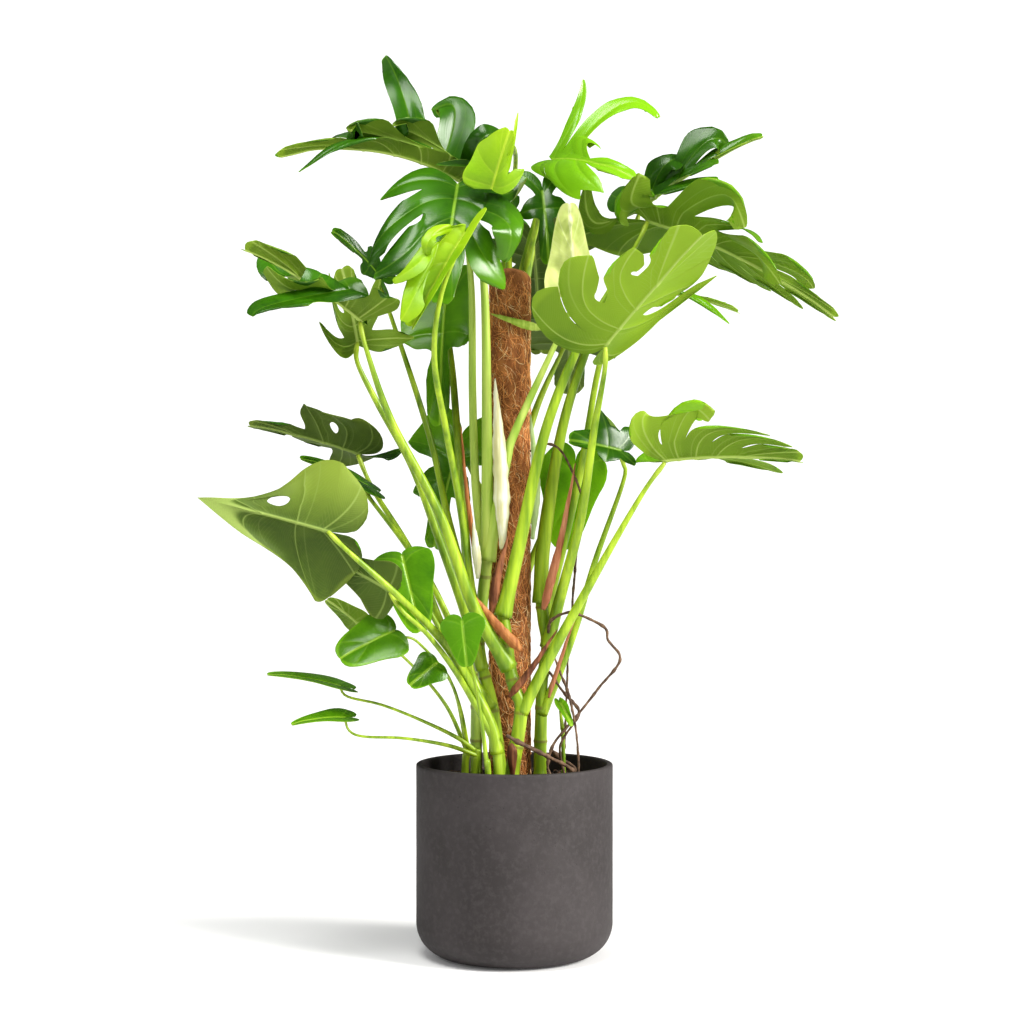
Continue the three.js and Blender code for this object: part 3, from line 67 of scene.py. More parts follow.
# Large blades: stalk end, point, upward direction and per side the cuts and main lobes
LEAVES = [
    dict(name="leaf_crown_left", at=[-90, -40, 1326], tip=[-385, -150, 1350], up=[-0.1, -0.1, 0.97],
        width=[0.9, 1], fold=[45, 50], curl=[15, 25], droop=45, cuts=["cccc", "cccc"], sinus=125,
        cut_from=0.24, gap=0.05, bend=2, slim=[[0.8, 1, 0.72, 0.7, 1], [0.6, 1, 0.9, 0.8, 1]],
        tips=[[[-21, -110, 1416], [-160, 10, 1481], [-237, 0, 1571], [-322, 40, 1413], None],
            [[-146, -80, 1352], [-239, -120, 1414], [-308, -150, 1388], [-360, -180, 1317], None]],
        mids=[[[-55, -90, 1386], [-98, 0, 1460], [-191, 10, 1493], None, None],
            [None, [-179, -100, 1407], [-254, -130, 1399], None, None]],
        faces=[[[0, -0.9, 0.4], [0.1, -0.9, 0.4], [0.15, -0.95, 0.2], None, None],
            [None, [0.25, 0.8, 0.55], [0.2, 0.75, 0.6], None, None]]),
    dict(name="leaf_crown_front", at=[-95, -112, 1312], tip=[-119, -222, 1106], up=[0.05, -0.9, 0.4],
        width=[1.15, 1.05], fold=[10, 8], curl=[40, 30], droop=30, cuts=["ccc", "ccc"], sinus=125,
        gap=0.05, cut_from=0.38, slim=[[1, 1.1, 1, 1], [1, 1.3, 1.1, 1]],
        tips=[[[-225, -130, 1280], [-240, -190, 1162], [-229, -205, 1139], None],
            [[21, -95, 1324], [-12, -200, 1153], [-17, -170, 1128], None]],
        mids=[[None, [-211, -175, 1229], [-180, -198, 1190], None],
            [[-19, -105, 1299], [-4, -190, 1231], [-45, -180, 1183], None]],
        faces=[None, [None, [0.35, -0.75, 0.55], None, None]]),
    dict(name="leaf_young", at=[-80, -262, 1210], tip=[-161, -290, 1059], up=[-0.1, -0.95, 0.3],
        width=[1.1, 0.3], fold=[12, 50], curl=[25, 10], droop=20, cuts=["ccc", "jjj"], sinus=150,
        cut_from=0.3, gap=0.06, bend=2, slim=[[0.62, 0.7, 0.85, 1], [1, 1, 1, 1]],
        tips=[[[-158, -312, 1138], [-203, -305, 1111], [-187, -312, 1042], None],
            None],
        mids=[[[-134, -298, 1198], [-153, -300, 1159], [-164, -302, 1101], None],
            None],
        faces=[[[-0.3, -0.9, 0.35], [-0.2, -0.95, 0.2], [-0.2, -0.95, 0.1], None],
            None]),
    dict(name="leaf_left_front", at=[-250, -180, 1075], tip=[-432, -250, 1182], up=[-0.3, 0.1, 0.95],
        width=[1.4, 1.45], fold=[30, 40], curl=[15, 20], droop=20, cuts=["ccc", "ccc"], sinus=115,
        gap=0.05, bend=2.2,
        tips=[[[-298, -120, 1183], [-381, -125, 1176], [-410, -160, 1202], None],
            [[-221, -225, 1109], [-454, -320, 1059], [-420, -285, 1148], None]],
        mids=[[[-270, -140, 1135], [-328, -150, 1140], [-382, -170, 1158], None],
            [None, [-370, -285, 1095], [-343, -262, 1121], None]],
        faces=[[[-0.2, -0.6, 0.75], [0.1, -0.7, 0.7], [0.3, -0.8, 0.5], None],
            [None, [0, -0.5, 0.85], [0.1, 0.5, 0.85], None]]),
    dict(name="leaf_left_rear", at=[-262, -100, 1042], tip=[-296, -20, 1180], up=[0.1, 0.9, 0.3],
        width=[1, 1], fold=[10, 6], curl=[10, 15], droop=8, cuts=["cc", "cc"], sinus=120,
        tips=[[[-329, -100, 1089], [-318, -20, 1180], None],
            [[-167, -100, 1059], [-232, -40, 1174], None]]),
    dict(name="leaf_left_slim", at=[-240, 85, 1180], tip=[-318, 40, 1252], up=[-0.2, -0.6, 0.7],
        width=[0.8, 0.8], fold=[20, 20], curl=[20, 20], droop=25, cuts=["cc", "cc"]),
    dict(name="leaf_low_left", at=[-298, -236, 731], tip=[-504, -290, 786], up=[-0.1, 0.97, 0.2],
        width=[1.12, 1.12], fold=[42, 4], curl=[25, 25], droop=14, cuts=["jj", "jh"],
        slender=1.05, sinus=160, gap=0.11,
        tips=[[[-277, -190, 685], [-341, -190, 632], [-395, -230, 698]],
            [[-265, -215, 804], [-354, -225, 829], [-423, -262, 784]]]),
    dict(name="leaf_low_olive", at=[-199, -192, 630], tip=[-300, -165, 684], up=[0.1, 0.9, 0.35],
        width=[0.9, 0.75], fold=[10, 10], curl=[20, 20], droop=15, cuts=["j", "j"], sinus=130,
        ears=0.35, slender=0.4),
    dict(name="leaf_low_heart", at=[-186, -150, 690], tip=[-156, -158, 566], up=[0.1, -1, 0.1],
        width=[0.72, 0.72], fold=[10, 8], curl=[18, 18], droop=8, cuts=["j", "j"], ears=0.35),
    dict(name="leaf_mid_left", at=[-270, 40, 864], tip=[-456, 5, 912], up=[-0.1, 0.45, 0.88],
        width=[0.75, 0.9], fold=[15, 30], curl=[20, 10], droop=12, cuts=["jcc", "jhc"],
        sinus=150, slender=0.4,
        tips=[[[-190, 60, 892], None, None, None], [[-262, -14, 928], [-330, -20, 920], None, None]]),
    dict(name="leaf_mid_slim", at=[-253, -20, 809], tip=[-362, -62, 853], up=[0.25, -0.2, 0.95],
        width=[0.75, 0.7], fold=[12, 5], curl=[25, 25], droop=18, cuts=["j", "j"]),
    dict(name="leaf_rear_left", at=[-98, 108, 886], tip=[-142, 100, 702], up=[-0.25, -0.85, 0.3],
        width=[0.95, 0.8], fold=[10, 10], curl=[30, 20], droop=20, cuts=["jcc", "jcc"]),
    dict(name="leaf_rear_right", at=[107, 95, 846], tip=[86, 80, 700], up=[-0.1, -1, 0.1],
        width=[0.75, 0.7], fold=[8, 8], curl=[15, 15], droop=10, cuts=["j", "j"]),
    dict(name="leaf_back_hanging", at=[-122, 58, 1128], tip=[-128, 0, 915], up=[-0.3, -0.9, 0.2],
        width=[0.65, 0.5], fold=[6, 12], curl=[25, 10], droop=14, cuts=["jc", "jc"]),
    dict(name="leaf_behind_pole", at=[34, 142, 1244], tip=[50, 300, 1062], up=[0, 0.6, 0.8],
        width=[0.95, 0.95], fold=[15, 15], curl=[30, 30], droop=25, cuts=["ccc", "ccc"]),
    dict(name="leaf_rear_mid", at=[98, 146, 1083], tip=[102, 300, 985], up=[0.1, 0.5, 0.85],
        width=[0.95, 0.95], fold=[15, 15], curl=[30, 30], droop=20, cuts=["jc", "jc"]),
    dict(name="leaf_right", at=[247, -130, 848], tip=[468, -170, 846], up=[0, 0.35, 0.9],
        width=[1.2, 0.7], fold=[52, 15], curl=[25, 20], droop=16, cuts=["hccc", "cccc"],
        sinus=150, gap=0.08, bend=2, cut_from=0.26, slim=[[1, 1.1, 1.1, 1, 1], [0.7, 0.8, 1, 1, 1]],
        tips=[[[224, -200, 950], [331, -205, 909], [420, -195, 887], [458, -185, 868], None],
            [[233, -60, 872], [318, -20, 887], [383, -60, 865], [452, -105, 828], None]],
        mids=[[[206, -175, 904], [286, -200, 933], None, None, None], None],
        faces=[[[-0.4, 0.85, 0.3], [0.2, 0.8, 0.55], None, None, None], None]),
    dict(name="leaf_right_dark", at=[180, -52, 868], tip=[93, -78, 884], up=[0.15, -0.85, 0.5],
        width=[1.3, 0.7], fold=[12, 8], curl=[25, 20], droop=14, cuts=["cc", "cc"],
        cut_from=0.55, gap=0.06, tips=[[None, [141, -70, 937], None], None]),
    dict(name="leaf_top_bright", at=[64, -4, 1371], tip=[195, -120, 1322], up=[0.1, -0.75, 0.65],
        width=[0.95, 0.85], fold=[12, 12], curl=[30, 20], droop=30, cuts=["jjc", "ccc"],
        tone="young", sinus=140, cut_from=0.16, gap=0.06, slim=[[0.9, 1, 1, 1], [0.45, 0.8, 0.8, 1]],
        tips=[[[67, -50, 1335], [103, -95, 1297], [146, -125, 1298], None],
            [[137, 0, 1543], [275, -10, 1455], [145, -60, 1384], None]],
        mids=[None, [[106, 5, 1454], [182, 5, 1468], [116, -30, 1403], None]],
        faces=[None, [[0.4, -0.9, 0.1], [0, -0.8, 0.6], None, None]]),
    dict(name="leaf_top_dark", at=[48, -30, 1312], tip=[58, -56, 1186], up=[0.1, -0.85, 0.5],
        width=[0.7, 0.8], fold=[10, 10], curl=[25, 25], droop=20, cuts=["cc", "cc"]),
    dict(name="leaf_top_rear", at=[-8, 0, 1310], tip=[-76, -26, 1266], up=[-0.1, -0.7, 0.7],
        width=[0.8, 0.8], fold=[10, 10], curl=[30, 30], droop=20, cuts=["c", "c"], sinus=115),
    dict(name="leaf_top_yellow", at=[-38, -156, 1296], tip=[-8, -178, 1388], up=[-0.15, -0.95, 0.1],
        width=[1.15, 1.3], fold=[26, 10], curl=[20, 35], droop=14, cuts=["cc", "jj"], sinus=105,
        gap=0.05, cut_from=0.45, ears=0.6, slim=[[1.1, 1.2, 1.1], [1, 1, 1]],
        tips=[[[16, -150, 1332], [6, -150, 1425], None], [[-83, -172, 1312], None, None]],
        mids=[[None, [-1, -160, 1373], None], None]),
    dict(name="leaf_upper_right", at=[223, -60, 1258], tip=[536, -80, 1094], up=[0.28, 0.72, 0.6],
        width=[0.85, 0.55], fold=[20, 12], curl=[30, 15], droop=36, cuts=["cccccc", "jjcccc"],
        sinus=140, cut_from=0.24, gap=0.05, bend=2,
        slim=[[0.9, 1.7, 1.5, 0.9, 0.9, 0.8, 1], [1, 1, 1, 1, 1, 1, 1]],
        tips=[[[111, -70, 1298], [209, -120, 1327], [406, -190, 1219], [419, -150, 1195],
            [455, -170, 1118], [513, -120, 1120], None],
            [None, None, [321, 10, 1213], [393, 0, 1170], [443, -10, 1142], [494, -40, 1109], None]],
        mids=[[[135, -65, 1251], [191, -92, 1281], [347, -150, 1292], [372, -110, 1242],
            [407, -140, 1188], [474, -110, 1166], None], [None, None, None, None, None, None, None]],
        faces=[[[-0.1, 0.9, 0.4], [-0.1, 0.9, 0.4], [0.15, 0.65, 0.75], [0.3, -0.1, 0.95],
            [0.3, 0.6, 0.7], [0.3, 0.6, 0.7], None], [None, None, None, None, None, None, None]]),
    dict(name="leaf_upper_right_rear", at=[216, 86, 1292], tip=[430, 50, 1416], up=[-0.45, -0.1, 0.9],
        width=[0.8, 1], fold=[15, 45], curl=[20, 30], droop=18, cuts=["ccc", "ccc"], sinus=120,
        gap=0.06, cut_from=0.2, bend=2,
        tips=[[None, [373, 10, 1345], [373, 25, 1375], None],
            [None, [317, 80, 1403], [403, 60, 1421], None]],
        mids=[None, [None, [264, 85, 1378], [340, 70, 1421], None]],
        faces=[[None, [0.1, -0.5, 0.85], [0.1, -0.5, 0.85], None],
            [None, [-0.5, -0.8, 0.3], [-0.3, -0.9, 0.3], None]]),
    dict(name="leaf_front", at=[148, -150, 1036], tip=[297, -300, 1200], up=[-0.15, 0.75, 0.6],
        width=[1.2, 0.85], fold=[2, 40], curl=[12, 10], droop=8, cuts=["jcc", "jcj"], sinus=160,
        cut_from=0.32, slender=-0.3, gap=0.26, taper=0,
        slim=[[1, 0.92, 0.86, 0.74], [1, 1, 1, 1.1]],
        tips=[[[17, -205, 1113], [127, -262, 1176], [207, -292, 1199], None],
            [[189, -110, 1040], [328, -170, 1149], None, None]],
        faces=[[None, [-0.1, 0.95, 0.3], [-0.1, 0.95, 0.3], None], None]),
    dict(name="leaf_front_under", at=[213, -60, 1140], tip=[369, -130, 1096], up=[0.2, 0.3, 0.92],
        width=[0.8, 0.85], fold=[15, 20], curl=[20, 20], droop=20, cuts=["ccc", "ccc"],
        sinus=140,
        tips=[[None, None, [360, -155, 1071], None], [None, [311, -60, 1164], [360, -90, 1115], None]]),
    dict(name="leaf_cream", at=[103, -72, 1140], tip=[92, -98, 1280], up=[-0.3, 0.9, 0.1],
        width=[0.62, 0.56], fold=[28, 32], curl=[35, 30], droop=8, twist=20, cuts=["j", "j"],
        ears=0.3, tone="cream"),
]

# Small shoots with juvenile blades on thin stalks
SHOOTS = [
    dict(name="shoot_trailing", foot=[-66, -66], path=[[-62, -70, 362]], radii=[7, 6],
        leaves=[
            dict(at=[-284, -120, 420], tip=[-368, -150, 411], up=[-0.1, -0.3, 0.95], width=[0.55, 0.55],
                fold=[20, 10], curl=[20, 20], droop=20, cuts=["j", "j"], slender=0.4,
                stalk=[[-62, -70, 350], [-112, -90, 370], [-185, -108, 384], [-252, -118, 388],
                    [-276, -120, 398]]),
            dict(at=[-294, -105, 472], tip=[-410, -130, 492], up=[0, -0.2, 0.98], width=[0.5, 0.5],
                fold=[10, 10], curl=[20, 20], droop=15, cuts=["j", "j"],
                stalk=[[-62, -68, 356], [-100, -82, 384], [-164, -96, 416], [-224, -104, 440],
                    [-280, -108, 454]]),
        ]),
    dict(name="shoot_hearts", foot=[-84, -40], path=[[-80, -44, 366]], radii=[7, 6],
        leaves=[
            dict(at=[-200, -150, 566], tip=[-286, -178, 522], up=[-0.1, -0.75, 0.65], width=[0.92, 0.92],
                fold=[8, 8], curl=[15, 15], droop=12, cuts=["j", "j"], ears=0.4, slender=-0.1,
                stalk=[[-80, -46, 354], [-104, -90, 470], [-160, -126, 545], [-190, -140, 556]]),
            dict(at=[-262, -80, 572], tip=[-315, -100, 615], up=[-0.1, 0.5, 0.85], width=[0.75, 0.75],
                fold=[15, 15], curl=[15, 15], droop=12, cuts=["j", "j"], ears=0.5,
                stalk=[[-82, -42, 358], [-120, -60, 440], [-190, -76, 520], [-250, -82, 560]]),
            dict(at=[-130, -150, 512], tip=[-172, -172, 478], up=[0.1, -0.85, 0.4], width=[0.95, 0.95],
                fold=[8, 8], curl=[25, 25], droop=20, cuts=["j", "j"], ears=0.5,
                stalk=[[-78, -50, 352], [-90, -100, 430], [-108, -134, 486], [-122, -142, 504]]),
        ]),
    dict(name="shoot_glossy", foot=[-44, -138], path=[[-46, -140, 352]], radii=[6, 5],
        leaves=[
            dict(at=[-86, -190, 584], tip=[-78, -206, 512], up=[0, -1, 0.15], width=[0.9, 0.9],
                fold=[8, 8], curl=[20, 20], droop=12, cuts=["j", "j"], ears=0.7, slender=0.3,
                stalk=[[-46, -140, 345], [-58, -156, 440], [-78, -172, 546], [-86, -184, 580]]),
        ]),
    dict(name="shoot_right", foot=[84, -34], path=[[82, -40, 400]], radii=[4, 3],
        leaves=[
            dict(at=[78, -62, 438], tip=[96, -84, 402], up=[0.5, -0.8, 0.2], width=[0.45, 0.45],
                fold=[10, 10], curl=[15, 15], droop=12, cuts=["j", "j"],
                stalk=[[82, -40, 392], [78, -50, 425]]),
        ]),
]

# Aerial roots down to where they enter the soil
ROOTS = [
    dict(name="root_loop", radii=[2.6, 2.4, 2.2],
        path=[[58, -24, 556], [62, -36, 577], [84, -50, 590], [106, -62, 590], [152, -70, 568],
            [159, -70, 545], [178, -72, 521], [172, -72, 500], [144, -66, 466], [108, -62, 420],
            [68, -64, 372], [56, -66, 335]],
        end=[60, -68]),
    dict(name="root_mid", radii=[2.4, 2.2],
        path=[[60, -14, 488], [84, -44, 455], [108, -52, 428], [104, -52, 408], [78, -46, 365]],
        end=[84, -44]),
    dict(name="root_long", radii=[2.2, 1.8],
        path=[[27, -3.5, 868], [58, -20, 880], [82, -30, 864], [108, -32, 811], [116, -28, 773],
            [107, -20, 697], [100, -2, 607], [94, 10, 528], [90, 10, 440], [86, 8, 350]],
        end=[84, 8]),
    dict(name="root_tan", radii=[2, 2],
        path=[[66, -16, 520], [78, -40, 490], [94, -72, 445], [104, -78, 390], [108, -78, 340]],
        end=[108, -78]),
    dict(name="root_thick", radii=[3.4, 3.2, 2.8],
        path=[[-14, -134, 392], [2, -130, 382], [40, -116, 362], [92, -104, 334]], end=[100, -98]),
    dict(name="root_surface", radii=[2.6, 2.2], path=[[62, 16, 350], [86, 34, 330]], end=[104, 46]),
]

# Stems, and the stalks that they bear, each with the blade it carries
STEMS = [
    dict(name="stem_front", foot=[-3, -90],
        path=[[11, -88, 428], [1, -86, 463], [-9, -82, 506], [-14, -80, 550], [-20, -78, 591]],
        radii=[12, 12, 11, 11, 10],
        stalks=[
            dict(leaf="leaf_right",
                start=[[11, -88, 424], [64, -100, 528], [149, -118, 683], [214, -128, 795]],
                radii=[10, 9, 7, 5, 4]),
            dict(leaf="leaf_left_front",
                start=[[-9, -82, 500], [-69, -110, 606], [-125, -135, 760], [-203, -165, 913],
                    [-243, -186, 1030]],
                radii=[13, 10, 8, 6, 4]),
            dict(leaf="leaf_upper_right",
                start=[[-20, -78, 586], [8, -75, 707], [53, -70, 902], [109, -62, 1045], [168, -58, 1150],
                    [210, -68, 1222]],
                radii=[13, 11, 9, 8, 5, 4]),
        ]),
    dict(name="stem_left", foot=[-24, -48],
        path=[[-38, -50, 434], [-55, -50, 500], [-64, -48, 560], [-72, -44, 612]], radii=[10, 10, 10, 9],
        stalks=[
            dict(leaf="leaf_mid_left",
                start=[[-38, -54, 430], [-82, -62, 494], [-120, -40, 560], [-175, 0, 688],
                    [-245, 32, 800]],
                radii=[9, 7, 6, 5, 4]),
            dict(leaf="leaf_left_rear",
                start=[[-55, -50, 496], [-86, -72, 600], [-128, -84, 720], [-172, -96, 840],
                    [-232, -116, 950], [-262, -124, 1012]],
                radii=[10, 8, 7, 6, 4]),
            dict(leaf="leaf_back_hanging",
                start=[[-72, -44, 606], [-80, -26, 664], [-90, 8, 783], [-100, 40, 903], [-110, 74, 1020],
                    [-120, 78, 1100]],
                radii=[9, 8, 7, 6, 4]),
            dict(leaf="leaf_young",
                start=[[-68, -46, 590], [-90, -70, 760], [-114, -140, 900], [-130, -225, 1010],
                    [-118, -256, 1110]],
                radii=[7, 6, 5, 4]),
            dict(leaf="leaf_left_slim",
                start=[[-70, -38, 598], [-112, 20, 740], [-150, 55, 900], [-212, 90, 1090]],
                radii=[7, 6, 5, 4]),
        ]),
    dict(name="stem_right", foot=[44, -5],
        path=[[46, -5, 416], [48, -5, 473], [56, -5, 533], [50, -3, 575], [46, -2, 611]],
        radii=[11, 11, 10, 10, 10],
        stalks=[
            dict(leaf="leaf_right_dark",
                start=[[46, -5, 414], [75, -14, 482], [108, -24, 575], [139, -32, 682], [186, -34, 815],
                    [186, -34, 846]],
                radii=[9, 7, 6, 5, 4, 4]),
            dict(leaf="leaf_front",
                start=[[56, -8, 530], [76, -24, 608], [112, -64, 751], [134, -100, 903],
                    [149, -144, 995]],
                radii=[11, 9, 8, 6, 4]),
            dict(leaf="leaf_front_under",
                start=[[50, 2, 570], [84, 22, 700], [112, 16, 820], [126, 0, 903], [150, -20, 1030],
                    [190, -60, 1105]],
                radii=[8, 7, 6, 5, 4]),
            dict(leaf="leaf_upper_right_rear",
                start=[[46, -2, 606], [50, 0, 706], [82, 6, 904], [125, 14, 1044], [168, 44, 1150],
                    [204, 70, 1240]],
                radii=[13, 12, 9, 7, 5, 4]),
        ]),
    dict(name="stem_pale", foot=[-66, 14],
        path=[[-66, 10, 400], [-62, 0, 540], [-52, -24, 640], [-46, -36, 690]], radii=[10, 10, 10],
        tone="pale",
        stalks=[
            dict(leaf="leaf_crown_left",
                start=[[-46, -36, 684], [-47, -42, 902], [-52, -45, 1149], [-74, -54, 1260]],
                radii=[12, 9, 7, 4]),
            dict(leaf="leaf_crown_front",
                start=[[-50, -30, 670], [-66, -22, 800], [-72, -16, 960], [-74, -30, 1150],
                    [-88, -70, 1270]],
                radii=[8, 7, 6, 4]),
            dict(leaf="leaf_cream",
                start=[[-46, -38, 680], [-14, -52, 848], [2, -54, 902], [74, -62, 1058], [96, -72, 1110]],
                radii=[12, 9, 7, 5, 4]),
        ]),
    dict(name="stem_climbing", foot=[-8, 78],
        path=[[-10, 78, 400], [2, 78, 560], [-12, 78, 720], [2, 78, 880], [-10, 76, 1010],
            [-4, 74, 1110]],
        radii=[12, 12, 11, 10, 9],
        stalks=[
            dict(leaf="leaf_rear_right", start=[[0, 80, 600], [40, 100, 700], [84, 112, 800]],
                radii=[9, 7, 5, 4]),
            dict(leaf="leaf_rear_left", start=[[-12, 82, 680], [-50, 120, 780], [-86, 134, 856]],
                radii=[9, 7, 5, 4]),
            dict(leaf="leaf_rear_mid", start=[[0, 82, 820], [40, 112, 950], [84, 140, 1048]],
                radii=[9, 7, 5, 4]),
            dict(leaf="leaf_behind_pole", start=[[-6, 80, 930], [4, 104, 1060], [26, 132, 1185]],
                radii=[9, 7, 5, 4]),
            dict(leaf="leaf_top_yellow",
                start=[[-8, 76, 1000], [-24, 92, 1120], [-10, 84, 1270], [2, 10, 1376], [-14, -110, 1380],
                    [-26, -158, 1345]],
                radii=[9, 7, 5, 4, 4, 4]),
            dict(leaf="leaf_top_rear", start=[[-8, 74, 1060], [-10, 60, 1210], [-10, 24, 1285]],
                radii=[8, 6, 4]),
            dict(leaf="leaf_top_dark", start=[[-4, 76, 1080], [20, 60, 1190], [44, 10, 1280]],
                radii=[8, 6, 4]),
            dict(leaf="leaf_top_bright",
                start=[[-4, 74, 1104], [20, 66, 1210], [50, 50, 1320], [60, 20, 1352]],
                radii=[9, 7, 5, 4]),
        ]),
    dict(name="stem_low_left", foot=[-26, -124], path=[[-30, -122, 380]], radii=[9, 9],
        stalks=[
            dict(leaf="leaf_low_left",
                start=[[-28, -122, 360], [-40, -124, 410], [-70, -130, 470], [-114, -160, 545],
                    [-190, -222, 628], [-268, -250, 700]],
                radii=[10, 9, 8, 6, 5, 4]),
            dict(leaf="leaf_low_olive",
                start=[[-34, -122, 384], [-92, -150, 490], [-140, -192, 560], [-182, -216, 602]],
                radii=[6, 5, 4, 4]),
            dict(leaf="leaf_low_heart",
                start=[[-30, -118, 380], [-90, -100, 500], [-138, -112, 590], [-178, -126, 668]],
                radii=[6, 5, 4, 4]),
            dict(leaf="leaf_mid_slim",
                start=[[-28, -118, 376], [-84, -92, 520], [-140, -66, 640], [-190, -48, 713],
                    [-250, -34, 790]],
                radii=[7, 6, 5, 4]),
        ]),
]

# Each blade's own number for its noise, the same as in the CAD source
SMALL_BLADES = [leaf for shoot in SHOOTS for leaf in shoot["leaves"]]
for first, blades in ((1, LEAVES), (41, SMALL_BLADES)):
    for number, leaf in enumerate(blades, first):
        leaf["seed"] = number

# How the lobes of a blade are laid out, with the same meanings as in the CAD source
CUT_FROM = 0.3
CUT_GAP = 0.19
CUT_ROW = 0.5
LOBE_SPREAD = 0.1
LOBE_RISE = 0.12
LOBE_TIP = 0.62
LOBE_PEAK = 0.35
LOBE_POINT = 1.35
CUT_BACK = (0.42, 0.16)
TAPER = 0.16
BEND_POWER = 1.9
EAR_HOLD = 0.45
TURN_END = 0.6
MIDRIB_SHARE = 0.64
SINUS_ANGLE = 168
SLENDER = 0.2
VEIN_BOW = 0.22
HOLE_END = 0.74
HOLE_WIDTH = 0.6
WIDE_HOLES = {"leaf_low_left": 1.5}
TIP_FROM = 0.72
TIP_NARROW = (0.5, 0.1)

# Fine rows from the midrib to the margin and columns across a lobe, closer where the veins run
VEIN_AT = 0.15
TWIGS_AT = (VEIN_AT + 0.45, VEIN_AT - 0.5)
ROWS = np.array([0, 0.012, 0.026, 0.045, 0.075, 0.12, 0.18, 0.25, 0.32, 0.39, 0.45, CUT_ROW, 0.51, 0.53,
                 0.56, 0.6, 0.64, 0.68, 0.71, 0.73, HOLE_END, 0.79, 0.84, 0.88, 0.92, 0.96, 0.985, 1])
COLUMNS = np.array([-1, -0.92, -0.75, -0.55, -0.35, -0.15, 0, 0.09, VEIN_AT, 0.21, 0.3, 0.45, 0.65,
                    0.82, 0.94, 1])


def share(number):
    """The same small pseudo-random share from 0 to 1 for the same number."""
    value = math.sin(number * 12.9898) * 43758.5453
    return value - math.floor(value)


def unit(v):
    return v / np.linalg.norm(v)


def waves(points, size, seed):
    """Smooth noise from about -1 to 1 at points, with bumps of about the given size."""
    total = np.zeros(points.shape[:-1])
    turn = np.random.default_rng(seed)
    for octave in range(3):
        for _ in range(4):
            way = unit(turn.normal(size=3))
            finer = 2 ** octave
            total += np.sin(points @ way * finer * 5 / size + turn.uniform(0, 6.3)) / finer
    return total / 5


def blade_frame(leaf):
    """The blade's own axes at the stalk: along the midrib, across it and up, and its length."""
    at = np.array(leaf["at"], float)
    chord = np.array(leaf["tip"], float) - at
    bend = math.radians(leaf["droop"])
    length = np.linalg.norm(chord) * bend / (2 * math.sin(bend / 2))
    chord = unit(chord)
    up = np.array(leaf["up"], float)
    up = unit(up - up.dot(chord) * chord)
    along = chord * math.cos(bend / 2) + up * math.sin(bend / 2)
    over = up * math.cos(bend / 2) - chord * math.sin(bend / 2)
    return SimpleNamespace(at=at, along=along, over=over, across=np.cross(along, over),
                           length=length, bend=bend)


def outline(angle):
    """Flat outline of a heart-shaped blade: distance from the stalk at an angle from the tip."""
    return (0.585 + 0.24 * np.cos(angle) + 0.035 * np.cos(2 * angle)
            + 0.09 * np.cos(3 * angle) + 0.05 * np.cos(5 * angle))


def flat_point(leaf, q, count, u):
    """Flat place on a half blade of unit length, q from sinus to tip and u out along a side vein."""
    part = q / count
    start = MIDRIB_SHARE * part ** 1.45
    angle = math.radians(leaf.get("sinus", SINUS_ANGLE)) * np.maximum(0, 1 - part) ** 1.45
    end_x = outline(angle) * np.cos(angle)
    end_y = outline(angle) * np.sin(angle)
    bow = VEIN_BOW * (1 - part ** 3)
    reach_x = (end_x - start) / 2
    reach_y = end_y / 2
    bend_x = start + reach_x * np.cos(bow) - reach_y * np.sin(bow)
    bend_y = reach_x * np.sin(bow) + reach_y * np.cos(bow)
    v = 1 - u
    x = v * v * start + 2 * u * v * bend_x + u * u * end_x
    narrow = 1 - leaf.get("slender", SLENDER) * np.maximum(0, x)
    return np.where(x < 0, x * leaf.get("ears", 1), x), (2 * u * v * bend_y + u * u * end_y) * narrow


# How far the web between two lobes reaches at a hole, at a join and at the midrib
WEB = {"h": 0.93, "j": 0.97, "m": 1}


def lobe_reach(w, before, after):
    """How far out a lobe reaches at w, from -1 on its stalk side to 1 on its tip side."""
    def cut(s):
        past = (s - LOBE_PEAK) / np.where(s < LOBE_PEAK, 1 + LOBE_PEAK, 1 - LOBE_PEAK)
        return 1 - np.where(s < LOBE_PEAK, CUT_BACK[0], CUT_BACK[1]) * np.abs(past) ** LOBE_POINT
    reach = cut(w)
    if before in WEB:
        reach = reach + (WEB[before] - cut(-1)) * ((1 - w) / 2) ** 2
    if after in WEB:
        reach = reach + (WEB[after] - cut(1)) * ((1 + w) / 2) ** 2
    return reach


def laid_out(leaf, form, side, x, y):
    """Flat places laid on the bent and folded blade, with the upward directions there."""
    x = np.asarray(x, float)[..., None]
    y = np.asarray(y, float)[..., None]
    turn = form.bend * x
    roll = math.radians(leaf.get("twist", 0)) * x
    upright = form.over * np.cos(turn) + form.along * np.sin(turn)
    outward = (form.across * np.cos(roll) + upright * np.sin(roll)) * (1 if side == 0 else -1)
    upward = upright * np.cos(roll) - form.across * np.sin(roll)
    fold = math.radians(leaf["fold"][side])
    curl = math.radians(leaf["curl"][side]) / (0.5 * form.length)
    slope = fold - curl * y * form.length * leaf["width"][side]
    place = (form.at + form.along * (form.length * np.sin(turn) / form.bend)
             - form.over * (form.length * (1 - np.cos(turn)) / form.bend)
             + outward * ((np.sin(fold) - np.sin(slope)) / curl)
             + upward * ((np.cos(slope) - np.cos(fold)) / curl))
    return place, upward


def lobe_value(leaf, key, side, lobe):
    """What the table sets for a lobe under a key, or None."""
    sides = leaf.get(key)
    return sides[side][lobe] if sides and sides[side] else None


